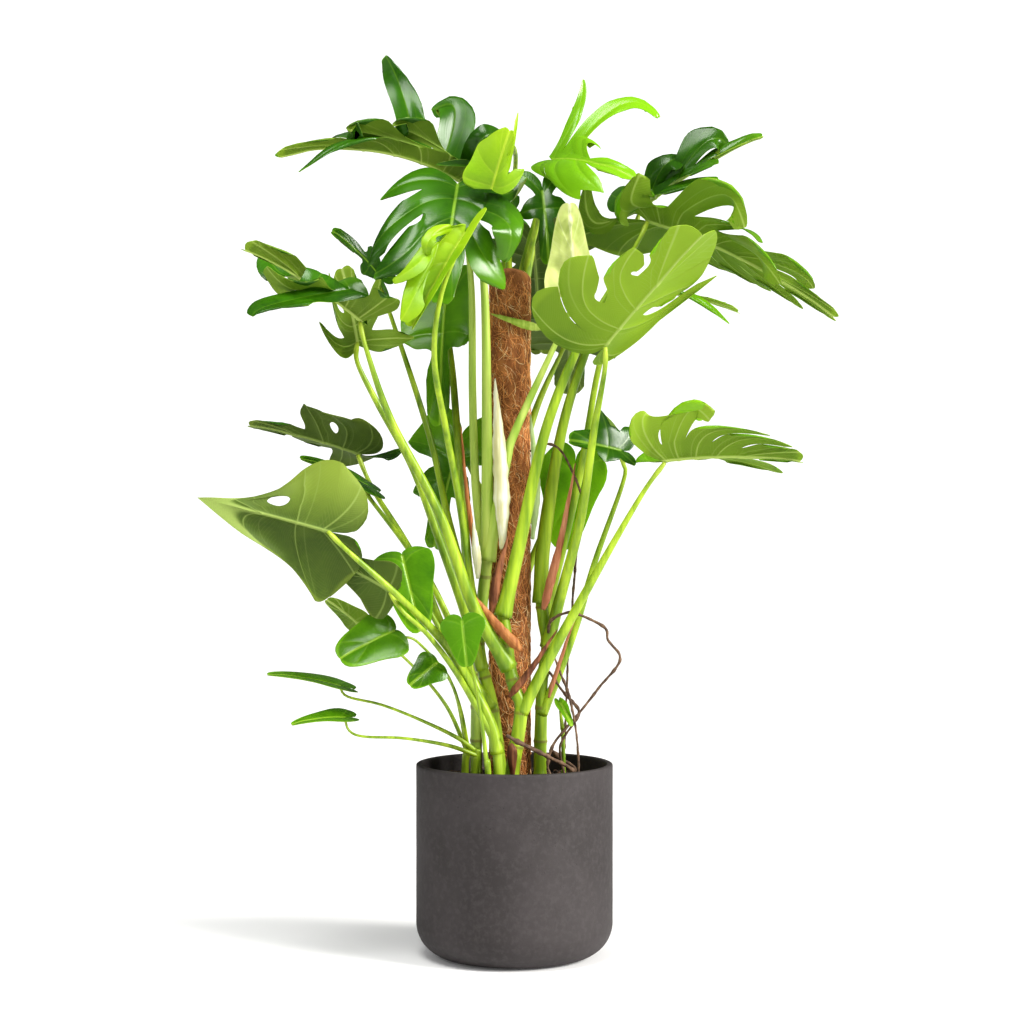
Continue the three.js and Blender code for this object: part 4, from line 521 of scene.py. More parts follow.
def lobe_shift(leaf, form, side, lobe):
    """How far the end of a lobe lies from its place on the evenly bent blade."""
    seams = leaf["cuts"][side]
    count = len(seams) + 1
    tip = lobe_value(leaf, "tips", side, lobe)
    end, upward = laid_out(leaf, form, side, *flat_point(leaf, lobe + LOBE_TIP, count, 1))
    if tip:
        return np.array(tip, float) - end
    if "c" not in seams or lobe == count - 1:
        return np.zeros(3)
    rise = LOBE_RISE * (2 * share(leaf["seed"] * 31 + side * 17 + lobe * 5 + 2) - 1)
    return upward * rise * form.length


def led_lobe(leaf, side, lobe, place, beside, u, w, out):
    """Leads a lobe through its set middle and turns it to where it faces."""
    mid = lobe_value(leaf, "mids", side, lobe)
    facing = lobe_value(leaf, "faces", side, lobe)
    if not mid and not facing:
        return place
    seams = leaf["cuts"][side]

    def is_free(seam):
        return seam == "c" and lobe < len(seams)

    free = np.ones(w.shape)
    if lobe > 0 and not is_free(seams[lobe - 1]):
        free = free - np.where(w < 0, w * w, 0)
    if lobe == len(seams) or not is_free(seams[lobe]):
        free = free - np.where(w > 0, w * w, 0)
    centre = list(COLUMNS).index(0)
    bare = place[:, centre]
    past = out[:, centre]
    middle = bare
    if mid:
        half_way = np.array([np.interp(0.5, past[past > 0], bare[past > 0, k]) for k in range(3)])
        middle = bare + (np.array(mid, float) - half_way) * (4 * past * (1 - past))[:, None]
    led = place + (middle - bare)[:, None] * free[..., None]
    if not facing:
        return led
    level = u[:, centre]
    ahead = np.gradient(middle[1:], level[1:], axis=0)
    wide = np.cross(np.array(facing, float), ahead)
    wide /= np.linalg.norm(wide, axis=1, keepdims=True)
    sign = np.sign(w) * (1 if side == 0 else -1)

    def at_level(values):
        beyond = 2 * values[-1] - values[-2]
        levels = np.append(level[1:], 2 * level[-1] - level[-2])
        columns = [np.interp(u, levels, np.append(values[:, k], beyond[k])) for k in range(3)]
        return np.stack(columns, axis=-1)

    turned = at_level(middle[1:]) + at_level(wide) * (sign * beside)[..., None]
    share_turned = (free * np.minimum(1, out / TURN_END) ** 1.5)[..., None]
    return led + (turned - led) * share_turned


def lobe_patch(leaf, form, side, lobe):
    """The middle surface of one lobe from the midrib out, as a grid of rows by columns."""
    seams = leaf["cuts"][side]
    count = len(seams) + 1
    before = seams[lobe - 1] if lobe > 0 else "c"
    after = seams[lobe] if lobe < count - 1 else "m"
    row, w = np.meshgrid(ROWS, COLUMNS, indexing="ij")
    shorter = 1 - LOBE_SPREAD * share(leaf["seed"] * 31 + side * 17 + lobe * 5) * (1 - w * w)
    is_placed = after == "m" or lobe_value(leaf, "tips", side, lobe)
    reach = lobe_reach(w, before, after) * (1 if is_placed else shorter)
    start = leaf.get("cut_from", CUT_FROM)
    out = np.maximum(0, (row - CUT_ROW) / (1 - CUT_ROW))
    u = np.where(row <= CUT_ROW, start * row / CUT_ROW, start + (reach - start) * out)

    def is_free(seam):
        return (seam == "c") | ((seam == "h") & (row < HOLE_END))

    free = np.where(w < 0, is_free(before) & (lobe > 0), is_free(after) & (after != "m"))
    holed = np.where(w < 0, before == "h", after == "h")
    gap = leaf.get("gap", CUT_GAP)
    taper = leaf.get("taper", TAPER) * out ** 3
    along_hole = np.clip((row - CUT_ROW) / (HOLE_END - CUT_ROW), 0, 1)
    wide = WIDE_HOLES.get(leaf.get("name"), HOLE_WIDTH) * gap
    hole = wide * np.sqrt(np.maximum(0, np.sin(math.pi * along_hole)))
    open_by = np.where(free, gap * (1 - (1 - out) ** 4) * (1 - 0.3 * out) + taper, 0)
    open_by = np.where(free & holed, hole, open_by)
    past = np.clip((out - TIP_FROM) / (1 - TIP_FROM), 0, 1)
    pointed = np.where(w < 0, *TIP_NARROW) * past ** 2
    open_by = np.where(free & ~holed, open_by + (0.5 - open_by) * pointed, open_by)
    open_by = np.where((w < 0) & (lobe == 0), taper, open_by)
    full = lobe_value(leaf, "slim", side, lobe) or 1
    kept = np.where((w < 0) & (lobe == 0), min(1, full), full)
    kept = np.where((w > 0) & (after == "m"), max(1, full), kept)
    slim = 1 - (1 - kept) * (1 - (1 - out) ** 3)
    x, y = flat_point(leaf, lobe + 0.5 + w * (0.5 - open_by) * slim, count, u)
    place, _ = laid_out(leaf, form, side, x, y)
    middle, _ = laid_out(leaf, form, side, *flat_point(leaf, lobe + 0.5, count, u))
    beside = np.linalg.norm(place - middle, axis=-1)

    own = lobe_shift(leaf, form, side, lobe)
    near = (((1 - w) / 2) ** 2)[..., None]
    far = (((1 + w) / 2) ** 2)[..., None]
    held = (1 - out)[..., None]
    shift = np.broadcast_to(own, place.shape)
    if lobe > 0:
        meet = (lobe_shift(leaf, form, side, lobe - 1) + own) / 2
        blend = near * held if before == "c" else near
        shift = shift * (1 - blend) + meet * blend
    if after == "m":
        shift = shift * (1 - far)
    else:
        meet = (lobe_shift(leaf, form, side, lobe + 1) + own) / 2
        blend = far * held if after == "c" else far
        shift = shift * (1 - blend) + meet * blend
    if lobe == 0:
        shift = shift * (1 - EAR_HOLD * near)
    place = place + shift * (u ** leaf.get("bend", BEND_POWER))[..., None]
    place = led_lobe(leaf, side, lobe, place, beside, u, w, out)

    across_mm = y * form.length * leaf["width"][side]
    from_midrib = np.where(x > 0, across_mm, np.hypot(x * form.length, across_mm))
    half_width = np.linalg.norm(place[:, -1] - place[:, 0], axis=1)[:, None] / 2
    return place, u, w, from_midrib, half_width


def near_line(distance, width):
    """1 on a line and 0 away from it, for a distance from the line in the same unit as its width."""
    return np.exp(-(distance / width) ** 2)


# Places that agree to this many decimals of a millimetre are one
MERGE_DIGITS = 3


def blade_sheet(leaf, form):
    """Middle surface of a whole blade: places, quads, vein distances and relief for both faces."""
    places, quads, midrib, vein, twig, out = [], [], [], [], [], []
    size = 0
    for side in (0, 1):
        count = len(leaf["cuts"][side]) + 1
        for lobe in range(count):
            place, u, w, from_midrib, half_width = lobe_patch(leaf, form, side, lobe)
            rows, columns = u.shape
            index = size + np.arange(rows * columns).reshape(rows, columns)
            a, b = index[:-1, :-1], index[:-1, 1:]
            c, d = index[1:, 1:], index[1:, :-1]
            quads.append(np.stack([a, d, c, b] if side == 0 else [a, b, c, d], axis=-1).reshape(-1, 4))
            places.append(place.reshape(-1, 3))
            midrib.append(from_midrib.ravel())
            vein.append((np.abs(w - VEIN_AT) * half_width).ravel())
            beside = np.minimum(*(np.abs(w - at) for at in TWIGS_AT))
            twig.append((beside * half_width).ravel())
            out.append(u.ravel())
            size += rows * columns
    places = np.concatenate(places)
    _, first, merged = np.unique(places.round(MERGE_DIGITS), axis=0, return_index=True, return_inverse=True)
    merged = merged.ravel()
    quads = merged[np.concatenate(quads)]
    distinct = np.array([len(set(quad)) for quad in quads])
    midrib, vein, twig, out = (np.concatenate(v)[first] for v in (midrib, vein, twig, out))
    return places[first], quads[distinct == 4], midrib, vein, twig, out


def vertex_normals(places, quads):
    corners = places[quads]
    normals = np.cross(corners[:, 2] - corners[:, 0], corners[:, 3] - corners[:, 1])
    summed = np.zeros_like(places)
    for k in range(4):
        np.add.at(summed, quads[:, k], normals)
    return summed / np.maximum(np.linalg.norm(summed, axis=1, keepdims=True), 1e-12)


def shell_faces(quads, size):
    """Upper faces, under faces and the rim of a closed thin shell over a sheet of quads."""
    edges = {}
    for k in range(4):
        for edge in zip(quads[:, k].tolist(), quads[:, (k + 1) % 4].tolist()):
            edges[edge] = True
    upper = [tuple(quad) for quad in quads.tolist()]
    under = [tuple(v + size for v in reversed(quad)) for quad in upper]
    return upper, under, [(i, i + size, j + size, j) for i, j in edges if (j, i) not in edges]


def blade_shell(leaf, thickness):
    """Closed thin blade with grooved veins above, raised ones below and a rim between the faces."""
    form = blade_frame(leaf)
    places, quads, midrib, vein, twig, out = blade_sheet(leaf, form)
    normals = vertex_normals(places, quads)
    big = min(1, form.length / 200)
    run = np.clip(out, 0, 1)
    quilt = (1 - near_line(vein, 6)) * np.sin(run * math.pi) * 1.6 * big
    ripple = waves(places, 90, leaf["seed"]) * 3.2 * big * run ** 2 * (1 - run ** 8)
    bed = quilt + ripple
    if leaf.get("tone") == "cream":
        crumple = waves(places, 42, 77) * 9 + waves(places, 17, 78) * 2.5
        bed = bed + crumple * np.sin(run * math.pi) ** 0.6
    rib = near_line(midrib, 3.2 * big + 0.6) * np.clip(1.3 - out, 0, 1)
    lateral = near_line(vein, 2.4 * big + 0.4) * (1 - run ** 2)
    tapering = 1 - 0.6 * np.clip(np.linalg.norm(places - form.at, axis=1) / form.length, 0, 1)
    above = bed + thickness / 2 - 0.9 * big * rib - 0.5 * big * lateral
    below = bed - thickness / 2 - 2.6 * big * rib * tapering - 0.9 * big * lateral
    top = places + normals * above[:, None]
    bottom = places + normals * below[:, None]
    faces, under, rim = shell_faces(quads, len(places))
    sharp = {(min(i, l), max(i, l)) for i, _, _, l in rim} | {(min(j, k), max(j, k)) for _, j, k, _ in rim}
    slots = [0] * len(faces) + [1] * (len(under) + len(rim))
    marks = {"midrib": midrib, "vein": vein, "twig": twig, "out": out}
    marks = {name: np.tile(values, 2) for name, values in marks.items()}
    return SimpleNamespace(points=np.concatenate([top, bottom]), faces=faces + under + rim, slots=slots,
                           marks=marks, sharp=sharp)


def smooth_path(points, step):
    """Evenly spaced places on the smooth curve through given points."""
    points = np.array(points, float)
    ends = np.vstack([2 * points[0] - points[1], points, 2 * points[-1] - points[-2]])
    fine = []
    for i in range(1, len(ends) - 2):
        p0, p1, p2, p3 = ends[i - 1:i + 3]
        t = np.linspace(0, 1, 40, endpoint=False)[:, None]
        m1, m2 = (p2 - p0) / 2, (p3 - p1) / 2
        fine.append((2 * t ** 3 - 3 * t ** 2 + 1) * p1 + (t ** 3 - 2 * t ** 2 + t) * m1
                    + (3 * t ** 2 - 2 * t ** 3) * p2 + (t ** 3 - t ** 2) * m2)
    fine = np.vstack(fine + [points[-1:]])
    run = np.concatenate([[0], np.cumsum(np.linalg.norm(np.diff(fine, axis=0), axis=1))])
    count = max(2, int(round(run[-1] / step)))
    at = np.linspace(0, run[-1], count + 1)
    return np.stack([np.interp(at, run, fine[:, k]) for k in range(3)], axis=1), at


def path_frames(path):
    """Two directions square to a path at each of its places, turned as little as possible."""
    tangents = np.gradient(path, axis=0)
    tangents /= np.linalg.norm(tangents, axis=1, keepdims=True)
    side = unit(np.cross(tangents[0], [0.3, 0.9, 0.2]))
    sides = [side]
    for tangent in tangents[1:]:
        side = unit(side - side.dot(tangent) * tangent)
        sides.append(side)
    sides = np.array(sides)
    return tangents, sides, np.cross(tangents, sides)


def tube(points, radii, sides, step, bulge=None):
    """Round tapered tube with closed ends. bulge gives a factor on the radius along its run."""
    path, run = smooth_path(points, step)
    part = run / run[-1]
    radius = np.interp(part * (len(radii) - 1), np.arange(len(radii)), radii)
    if bulge is not None:
        radius = radius * bulge(run, run[-1])
    _, across, over = path_frames(path)
    angle = np.linspace(0, 2 * math.pi, sides, endpoint=False)
    ring = across[:, None] * np.cos(angle)[None, :, None] + over[:, None] * np.sin(angle)[None, :, None]
    places = (path[:, None] + ring * radius[:, None, None]).reshape(-1, 3)
    count = len(path)
    index = np.arange(count * sides).reshape(count, sides)
    a, b = index[:-1], np.roll(index[:-1], -1, axis=1)
    c, d = np.roll(index[1:], -1, axis=1), index[1:]
    faces = [tuple(f) for f in np.stack([a, b, c, d], axis=-1).reshape(-1, 4).tolist()]
    faces.append(tuple(index[0][::-1].tolist()))
    faces.append(tuple(index[-1].tolist()))
    along = np.repeat(run, sides)
    left = np.repeat(run[-1] - run, sides)
    return SimpleNamespace(points=places, faces=faces, along=along, left=left)


def placed(name, data):
    """A new object in the scene."""
    made = bpy.data.objects.new(name, data)
    bpy.context.scene.collection.objects.link(made)
    return made


def new_piece(name, points, faces, materials, slots=None, marks=None, sharp=None, replaced=(),
              slot=None):
    """A mesh object in metres that rides on the frame, its marks as attributes for the materials."""
    mesh = bpy.data.meshes.new(name)
    mesh.from_pydata((np.asarray(points) * MM).tolist(), [], faces)
    mesh.polygons.foreach_set("use_smooth", np.ones(len(mesh.polygons), bool))
    if slots is not None:
        mesh.polygons.foreach_set("material_index", np.asarray(slots, np.int32))
    for mark, values in (marks or {}).items():
        mesh.attributes.new(mark, "FLOAT", "POINT").data.foreach_set("value", np.asarray(values, np.float32))
    if sharp is not None:
        ends = np.zeros(len(mesh.edges) * 2, np.int32)
        mesh.edges.foreach_get("vertices", ends)
        ends = np.sort(ends.reshape(-1, 2), axis=1)
        size = len(mesh.vertices)
        wanted = np.array([i * size + j for i, j in sharp])
        is_sharp = np.isin(ends[:, 0].astype(np.int64) * size + ends[:, 1], wanted)
        mesh.attributes.new("sharp_edge", "BOOLEAN", "EDGE").data.foreach_set("value", is_sharp)
    mesh.update()
    piece = placed(name, mesh)
    for material in materials:
        mesh.materials.append(material)
    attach(piece, "root")
    if replaced:
        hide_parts(*replaced)
    return piece


def joined(parts):
    """Several shells with the same marks as one list of points and faces."""
    points, faces, size = [], [], 0
    for part in parts:
        points.append(part.points)
        faces += [tuple(v + size for v in face) for face in part.faces]
        size += len(part.points)
    return np.concatenate(points), faces


# Sockets of the Mix node for colours: its factor and two colours, and its result
MIX_INPUTS = (0, 6, 7)
MIX_RESULT = 2


class Shader:
    """Short names for building a material's nodes."""

    def __init__(self, name):
        self.material = bpy.data.materials.new(name)
        self.material.use_nodes = True
        self.tree = self.material.node_tree
        self.surface = self.tree.nodes["Principled BSDF"]
        self.output = self.tree.nodes["Material Output"]

    def node(self, kind, **values):
        made = self.tree.nodes.new("ShaderNode" + kind)
        for key, value in values.items():
            setattr(made, key, value)
        return made

    def link(self, source, target):
        self.tree.links.new(source, target)

    def feed(self, socket, value):
        """Links a socket to an output, or sets it to a number or a colour."""
        if isinstance(value, tuple):
            socket.default_value = (*value, 1)
        elif isinstance(value, (int, float)):
            socket.default_value = value
        else:
            self.link(value, socket)

    def coat(self, colour, roughness):
        self.link(colour, self.surface.inputs["Base Color"])
        self.surface.inputs["Roughness"].default_value = roughness

    def place(self, stretch=(1, 1, 1)):
        """Coordinates in metres on the object, stretched along each axis."""
        coordinates = self.node("TexCoord")
        mapping = self.node("Mapping")
        mapping.inputs["Scale"].default_value = stretch
        self.link(coordinates.outputs["Object"], mapping.inputs["Vector"])
        return mapping.outputs["Vector"]

    def noise(self, scale, detail, roughness, stretch=(1, 1, 1), distortion=0.0):
        made = self.node("TexNoise")
        numbers = {"Scale": scale, "Detail": detail, "Roughness": roughness, "Distortion": distortion}
        for socket, number in numbers.items():
            made.inputs[socket].default_value = number
        self.link(self.place(stretch), made.inputs["Vector"])
        return made.outputs["Fac"]

    def mark(self, name):
        return self.node("Attribute", attribute_name=name).outputs["Fac"]

    def span(self, value, low, high, to_low=0.0, to_high=1.0):
        """value between low and high, taken smoothly to the other range and held there."""
        made = self.node("MapRange", interpolation_type="SMOOTHSTEP")
        numbers = {"From Min": low, "From Max": high, "To Min": to_low, "To Max": to_high}
        for socket, number in numbers.items():
            made.inputs[socket].default_value = number
        self.link(value, made.inputs["Value"])
        return made.outputs["Result"]

    def math(self, operation, a, b=None):
        made = self.node("Math", operation=operation)
        self.feed(made.inputs[0], a)
        if b is not None:
            self.feed(made.inputs[1], b)
        return made.outputs["Value"]

    def mix(self, factor, a, b):
        made = self.node("Mix", data_type="RGBA")
        for index, value in zip(MIX_INPUTS, (factor, a, b)):
            self.feed(made.inputs[index], value)
        return made.outputs[MIX_RESULT]

    def bump(self, height, strength, distance):
        made = self.node("Bump")
        made.inputs["Strength"].default_value = strength
        made.inputs["Distance"].default_value = distance
        self.link(height, made.inputs["Height"])
        self.link(made.outputs["Normal"], self.surface.inputs["Normal"])

    def glow_through(self, colour, share_through):
        """Lets light from behind through the surface, as a leaf does."""
        through = self.node("BsdfTranslucent")
        self.feed(through.inputs["Color"], colour)
        mixed = self.node("MixShader")
        mixed.inputs["Fac"].default_value = share_through
        self.link(self.surface.outputs["BSDF"], mixed.inputs[1])
        self.link(through.outputs["BSDF"], mixed.inputs[2])
        self.link(mixed.outputs["Shader"], self.output.inputs["Surface"])


# Fine veins branch off each side vein: how far they lean outward, and how close they stand
BRANCH_LEAN = 1.3
BRANCH_TURN = 1.15

# The lit green for the painted light on a blade, also mixed in at its margin, lifts dark greens most and
# warms them a little
LIFT = 1.7
LIFT_END = 0.5
WARM = 0.03
LEAF_IOR = 1.45


def leaf_material(name, dark, light, vein, roughness, through, through_colour, gloss, vein_show):
    """Blade finish: mottled green with painted light across the blade, lighter midrib, side veins and fine
    twigs between them.
    """
    s = Shader(name)
    mottle = s.span(s.noise(9, 5, 0.6), 0.34, 0.68)
    base = s.mix(mottle, dark, light)
    fine = s.span(s.noise(160, 3, 0.6), 0.3, 0.75, 0, 0.25)
    base = s.mix(fine, base, light)
    # Painted light: a lit copy of the blade's green, brighter and warmer than its light green
    lift = 1 + LIFT * max(0, 1 - light[1] / LIFT_END)
    bright = (light[0] * lift + WARM * (lift - 1), light[1] * lift, light[2] * lift)
    # Painted light: the green turns to the lit green towards the side of each blade that the light falls on
    base = s.mix(s.span(s.mark("painted_light"), 0, 1, 0, 0.85), base, bright)
    base = s.mix(s.span(s.mark("out"), 0.93, 1, 0, 0.45), base, bright)
    twigs = s.span(s.mark("twig"), 0.4, 1.6, 0.22 * vein_show, 0)
    veins = s.span(s.mark("vein"), 0.4, 2.0, 0.5 * vein_show, 0)
    rib = s.span(s.mark("midrib"), 1.2, 3.8, min(1, 0.55 + 0.4 * vein_show), 0)
    lean = s.math("MULTIPLY", s.mark("vein"), BRANCH_LEAN)
    branch = s.math("SINE", s.math("MULTIPLY", s.math("SUBTRACT", s.mark("midrib"), lean), BRANCH_TURN))
    branches = s.span(branch, 0.8, 1, 0, 0.16 * vein_show)
    lines = s.math("MAXIMUM", s.math("MAXIMUM", s.math("MAXIMUM", twigs, veins), rib), branches)
    colour = s.mix(lines, base, vein)
    s.coat(colour, roughness)
    s.surface.inputs["IOR"].default_value = LEAF_IOR
    s.surface.inputs["Specular IOR Level"].default_value = gloss
    relief = s.math("ADD", s.noise(300, 3, 0.6, distortion=0.4), s.math("MULTIPLY", branch, -0.3))
    s.bump(relief, 0.09, 0.001)
    s.glow_through(through_colour, through)
    return s.material


GREENS = {
    "dark": dict(upper=((0.013, 0.058, 0.002), (0.042, 0.145, 0.004), (0.25, 0.42, 0.04)),
                 under=((0.065, 0.105, 0.016), (0.115, 0.17, 0.024), (0.30, 0.39, 0.10)),
                 through=(0.17, 0.38, 0.006)),
    "mid": dict(upper=((0.036, 0.125, 0.003), (0.11, 0.27, 0.005), (0.34, 0.52, 0.05)),
                under=((0.11, 0.19, 0.015), (0.20, 0.31, 0.022), (0.50, 0.62, 0.16)),
                through=(0.34, 0.62, 0.01)),
    "light": dict(upper=((0.10, 0.28, 0.004), (0.21, 0.44, 0.008), (0.42, 0.62, 0.07)),
                  under=((0.17, 0.31, 0.012), (0.31, 0.48, 0.018), (0.56, 0.68, 0.14)),
                  through=(0.45, 0.75, 0.01)),
    "young": dict(upper=((0.19, 0.37, 0.006), (0.32, 0.50, 0.010), (0.55, 0.70, 0.06)),
                  under=((0.20, 0.36, 0.010), (0.34, 0.50, 0.016), (0.58, 0.70, 0.12)),
                  through=(0.45, 0.66, 0.012)),
    "cream": dict(upper=((0.50, 0.62, 0.12), (0.80, 0.84, 0.36), (0.86, 0.88, 0.52)),
                  under=((0.48, 0.60, 0.12), (0.78, 0.82, 0.36), (0.86, 0.88, 0.52)),
                  through=(0.7, 0.78, 0.2)),
}
# Greens of the upper and under face, and the direction in which painted light makes a blade brighter,
# with the distances in millimetres from the stalk at which that painted light starts and is full
LOOKS = {
    "leaf_crown_left": ("dark", "mid", (0.9, 0, 0.3), 60, 240),
    "leaf_crown_front": ("dark", "dark", (0.8, 0, -0.7), 60, 190),
    "leaf_young": ("young", "young", (0.6, 0, 1), -20, 60),
    "leaf_left_front": ("dark", "mid", (0.2, 0.8, 0.6), 20, 130),
    "leaf_left_rear": ("dark", "mid", (0, 0, 1), 60, 220),
    "leaf_left_slim": ("dark", "dark", (0, 0, 1), 100, 200),
    "leaf_low_left": ("mid", "dark", (0.3, 0, 1), -10, 120),
    "leaf_low_olive": ("mid", "dark", (-1, 0, 0), 80, 220),
    "leaf_low_heart": ("mid", "mid", (-0.4, 0, -1), 60, 200),
    "leaf_mid_left": ("dark", "dark", (0.6, 0, 1), 20, 120),
    "leaf_mid_slim": ("dark", "dark", (0, 0, 1), 100, 200),
    "leaf_rear_left": ("mid", "mid", (0.5, 0, 1), -60, 60),
    "leaf_rear_right": ("mid", "mid", (0.5, 0, -1), 0, 120),
    "leaf_back_hanging": ("mid", "mid", (-0.8, 0, -0.5), 60, 220),
    "leaf_behind_pole": ("dark", "dark", (0, 0, 1), 60, 200),
    "leaf_rear_mid": ("dark", "dark", (0, 0, 1), 60, 200),
    "leaf_right": ("light", "mid", (-0.6, -0.2, 1), -20, 70),
    "leaf_right_dark": ("dark", "mid", (0.6, 0, 0.6), 60, 160),
    "leaf_top_bright": ("mid", "light", (0.6, 0, -0.2), -120, 120),
    "leaf_top_dark": ("dark", "dark", (0.6, 0, -0.6), 40, 150),
    "leaf_top_rear": ("dark", "dark", (0, 0, -1), 60, 160),
    "leaf_top_yellow": ("young", "young", (0.4, 0, 1), 0, 120),
    "leaf_upper_right": ("mid", "mid", (0.5, 0, 1), -60, 230),
    "leaf_upper_right_rear": ("dark", "mid", (0.5, 0, -0.2), 40, 220),
    "leaf_front": ("light", "mid", (0.8, 0, 0.6), -60, 80),
    "leaf_front_under": ("mid", "mid", (1, 0, 0.3), 0, 160),
    "leaf_cream": ("cream", "cream", (0, 0, -1), -150, 0),
}


# The same share of painted light all over for juvenile blades, by their seed
SHOOT_PAINTED_LIGHTS = {41: 0.15, 42: 0.1, 43: 0.25, 44: 0.1, 45: 0.15, 46: 0.6}
SHOOT_PAINTED_LIGHT = 0.3


def painted_light(leaf, points):
    """How much painted light brightens the green at places on a blade, from 0 to 1."""
    if leaf.get("name") not in LOOKS:
        return np.full(len(points), SHOOT_PAINTED_LIGHTS.get(leaf["seed"], SHOOT_PAINTED_LIGHT))
    _, _, way, low, high = LOOKS[leaf["name"]]
    ahead = (points - np.array(leaf["at"], float)) @ unit(np.array(way, float))
    return np.clip((ahead - low) / (high - low), 0, 1)


def leaf_materials():
    made = {}
    for name, greens in GREENS.items():
        rough = 0.4 if name in ("young", "cream") else 0.24
        made[name] = [
            leaf_material(f"leaf_{name}_upper", *greens["upper"], rough, 0.22, greens["through"], 0.45, 0.35),
            leaf_material(f"leaf_{name}_under", *greens["under"], 0.55, 0.3, greens["through"], 0.3, 1.2),
        ]
    return made


RING_BROWN = (0.16, 0.085, 0.035)


def stalk_material(name, dark, light, knee):
    """Smooth stalk: lengthwise streaks, a paler knee under the blade and brown rings at the nodes."""
    s = Shader(name)
    streaks = s.span(s.noise(60, 4, 0.6, stretch=(1, 1, 0.08)), 0.3, 0.72)
    colour = s.mix(streaks, dark, light)
    blotch = s.span(s.noise(22, 4, 0.6, stretch=(1, 1, 0.3)), 0.55, 0.8, 0, 0.35)
    colour = s.mix(blotch, colour, light)
    colour = s.mix(s.span(s.mark("left"), 8, 46, 0.75, 0), colour, knee)
    colour = s.mix(s.span(s.mark("ring"), 0.3, 0.85, 0, 0.6), colour, RING_BROWN)
    s.coat(colour, 0.38)
    s.bump(s.noise(90, 3, 0.6, stretch=(1, 1, 0.1)), 0.18, 0.002)
    s.glow_through(light, 0.08)
    return s.material


def plain_material(name, dark, light, scale, roughness, bump_scale=None, bump=0.4, depth=0.002,
                   stretch=(1, 1, 1)):
    """Two tones mottled by noise, with a finer bump if its scale is given."""
    s = Shader(name)
    colour = s.mix(s.span(s.noise(scale, 6, 0.62, stretch=stretch), 0.32, 0.7), dark, light)
    s.coat(colour, roughness)
    if bump_scale:
        s.bump(s.noise(bump_scale, 5, 0.65, stretch=stretch), bump, depth)
    return s.material


def clay_material():
    """Fibre clay: warm dark grey with faint mottling and small pits, more of them near the rim."""
    s = Shader("fibre_clay")
    broad = s.span(s.noise(7, 5, 0.6), 0.3, 0.72)
    colour = s.mix(broad, (0.027, 0.022, 0.022), (0.042, 0.035, 0.036))
    fine = s.span(s.noise(110, 5, 0.65), 0.42, 0.7, 0, 0.5)
    colour = s.mix(fine, colour, (0.056, 0.048, 0.049))
    pits_at = s.node("TexVoronoi")
    pits_at.inputs["Scale"].default_value = 170
    s.link(s.place(), pits_at.inputs["Vector"])
    where = s.span(s.noise(26, 3, 0.7), 0.52, 0.66)
    split = s.node("SeparateXYZ")
    s.link(s.place(), split.inputs["Vector"])
    high = s.span(split.outputs["Z"], 0.12, 0.29, 0.15, 1)
    pit = s.span(pits_at.outputs["Distance"], 0.1, 0.24, 1, 0)
    pit = s.math("MULTIPLY", s.math("MULTIPLY", pit, where), high)
    colour = s.mix(pit, colour, (0.009, 0.007, 0.007))
    s.coat(colour, 0.72)
    height = s.math("SUBTRACT", s.math("MULTIPLY", s.noise(75, 5, 0.65), 0.35), pit)
    s.bump(height, 0.5, 0.0015)
    return s.material


def stalk_parts(stem, leaves):
    """Each stalk's given points, ending close under the blade where the midrib begins."""
    for stalk in stem["stalks"]:
        leaf = leaves[stalk["leaf"]]
        form = blade_frame(leaf)
        before = np.array(stalk["start"][-1], float)
        ahead = unit(form.at - before)
        slant = math.sqrt(max(0, 1 - ahead.dot(form.over) ** 2))
        below = BLADE / 2 + SEAT_GAP + slant * STALK_END
        seat = form.at + form.along * STALK_END - form.over * below
        yield [*stalk["start"], seat], [*stalk["radii"][:-1], STALK_END]


def knee(run, length):
    """Thickens a stalk a little under its blade and flares it at the foot."""
    left = length - run
    return 1 + 0.35 * near_line(left - 16, 13) + 0.22 * near_line(run, 26)


FIRST_NODE = 30
NODE_SPACING = 58
SHOOT_SPACING = 36


def from_node(run, spacing):
    """Distance from the nearest node at places along a stem."""
    beside = (run - FIRST_NODE) % spacing
    return np.minimum(beside, spacing - beside)


def node_rings(spacing):
    """Swells a stem at its nodes."""
    def factor(run, _):
        return 1 + 0.13 * near_line(from_node(run, spacing), 3.2)
    return factor


# Thickness of the fine blades and of the juvenile ones
BLADE_LOOK = 1.0
SMALL_BLADE_LOOK = 0.9


def build_leaves():
    materials = leaf_materials()
    slots = {"young": "young_leaf", "cream": "cream_leaf"}
    slots = {look: slots.get(look, "green_leaf") for look in GREENS}
    for leaf in LEAVES:
        shell = blade_shell(leaf, BLADE_LOOK)
        upper, under = LOOKS[leaf["name"]][:2]
        look = [materials[upper][0], materials[under][1]]
        marks = {**shell.marks, "painted_light": painted_light(leaf, shell.points)}
        new_piece(leaf["name"] + "_blade", shell.points, shell.faces, look, shell.slots, marks,
                  shell.sharp, [leaf["name"]], slots[upper])
    return materials


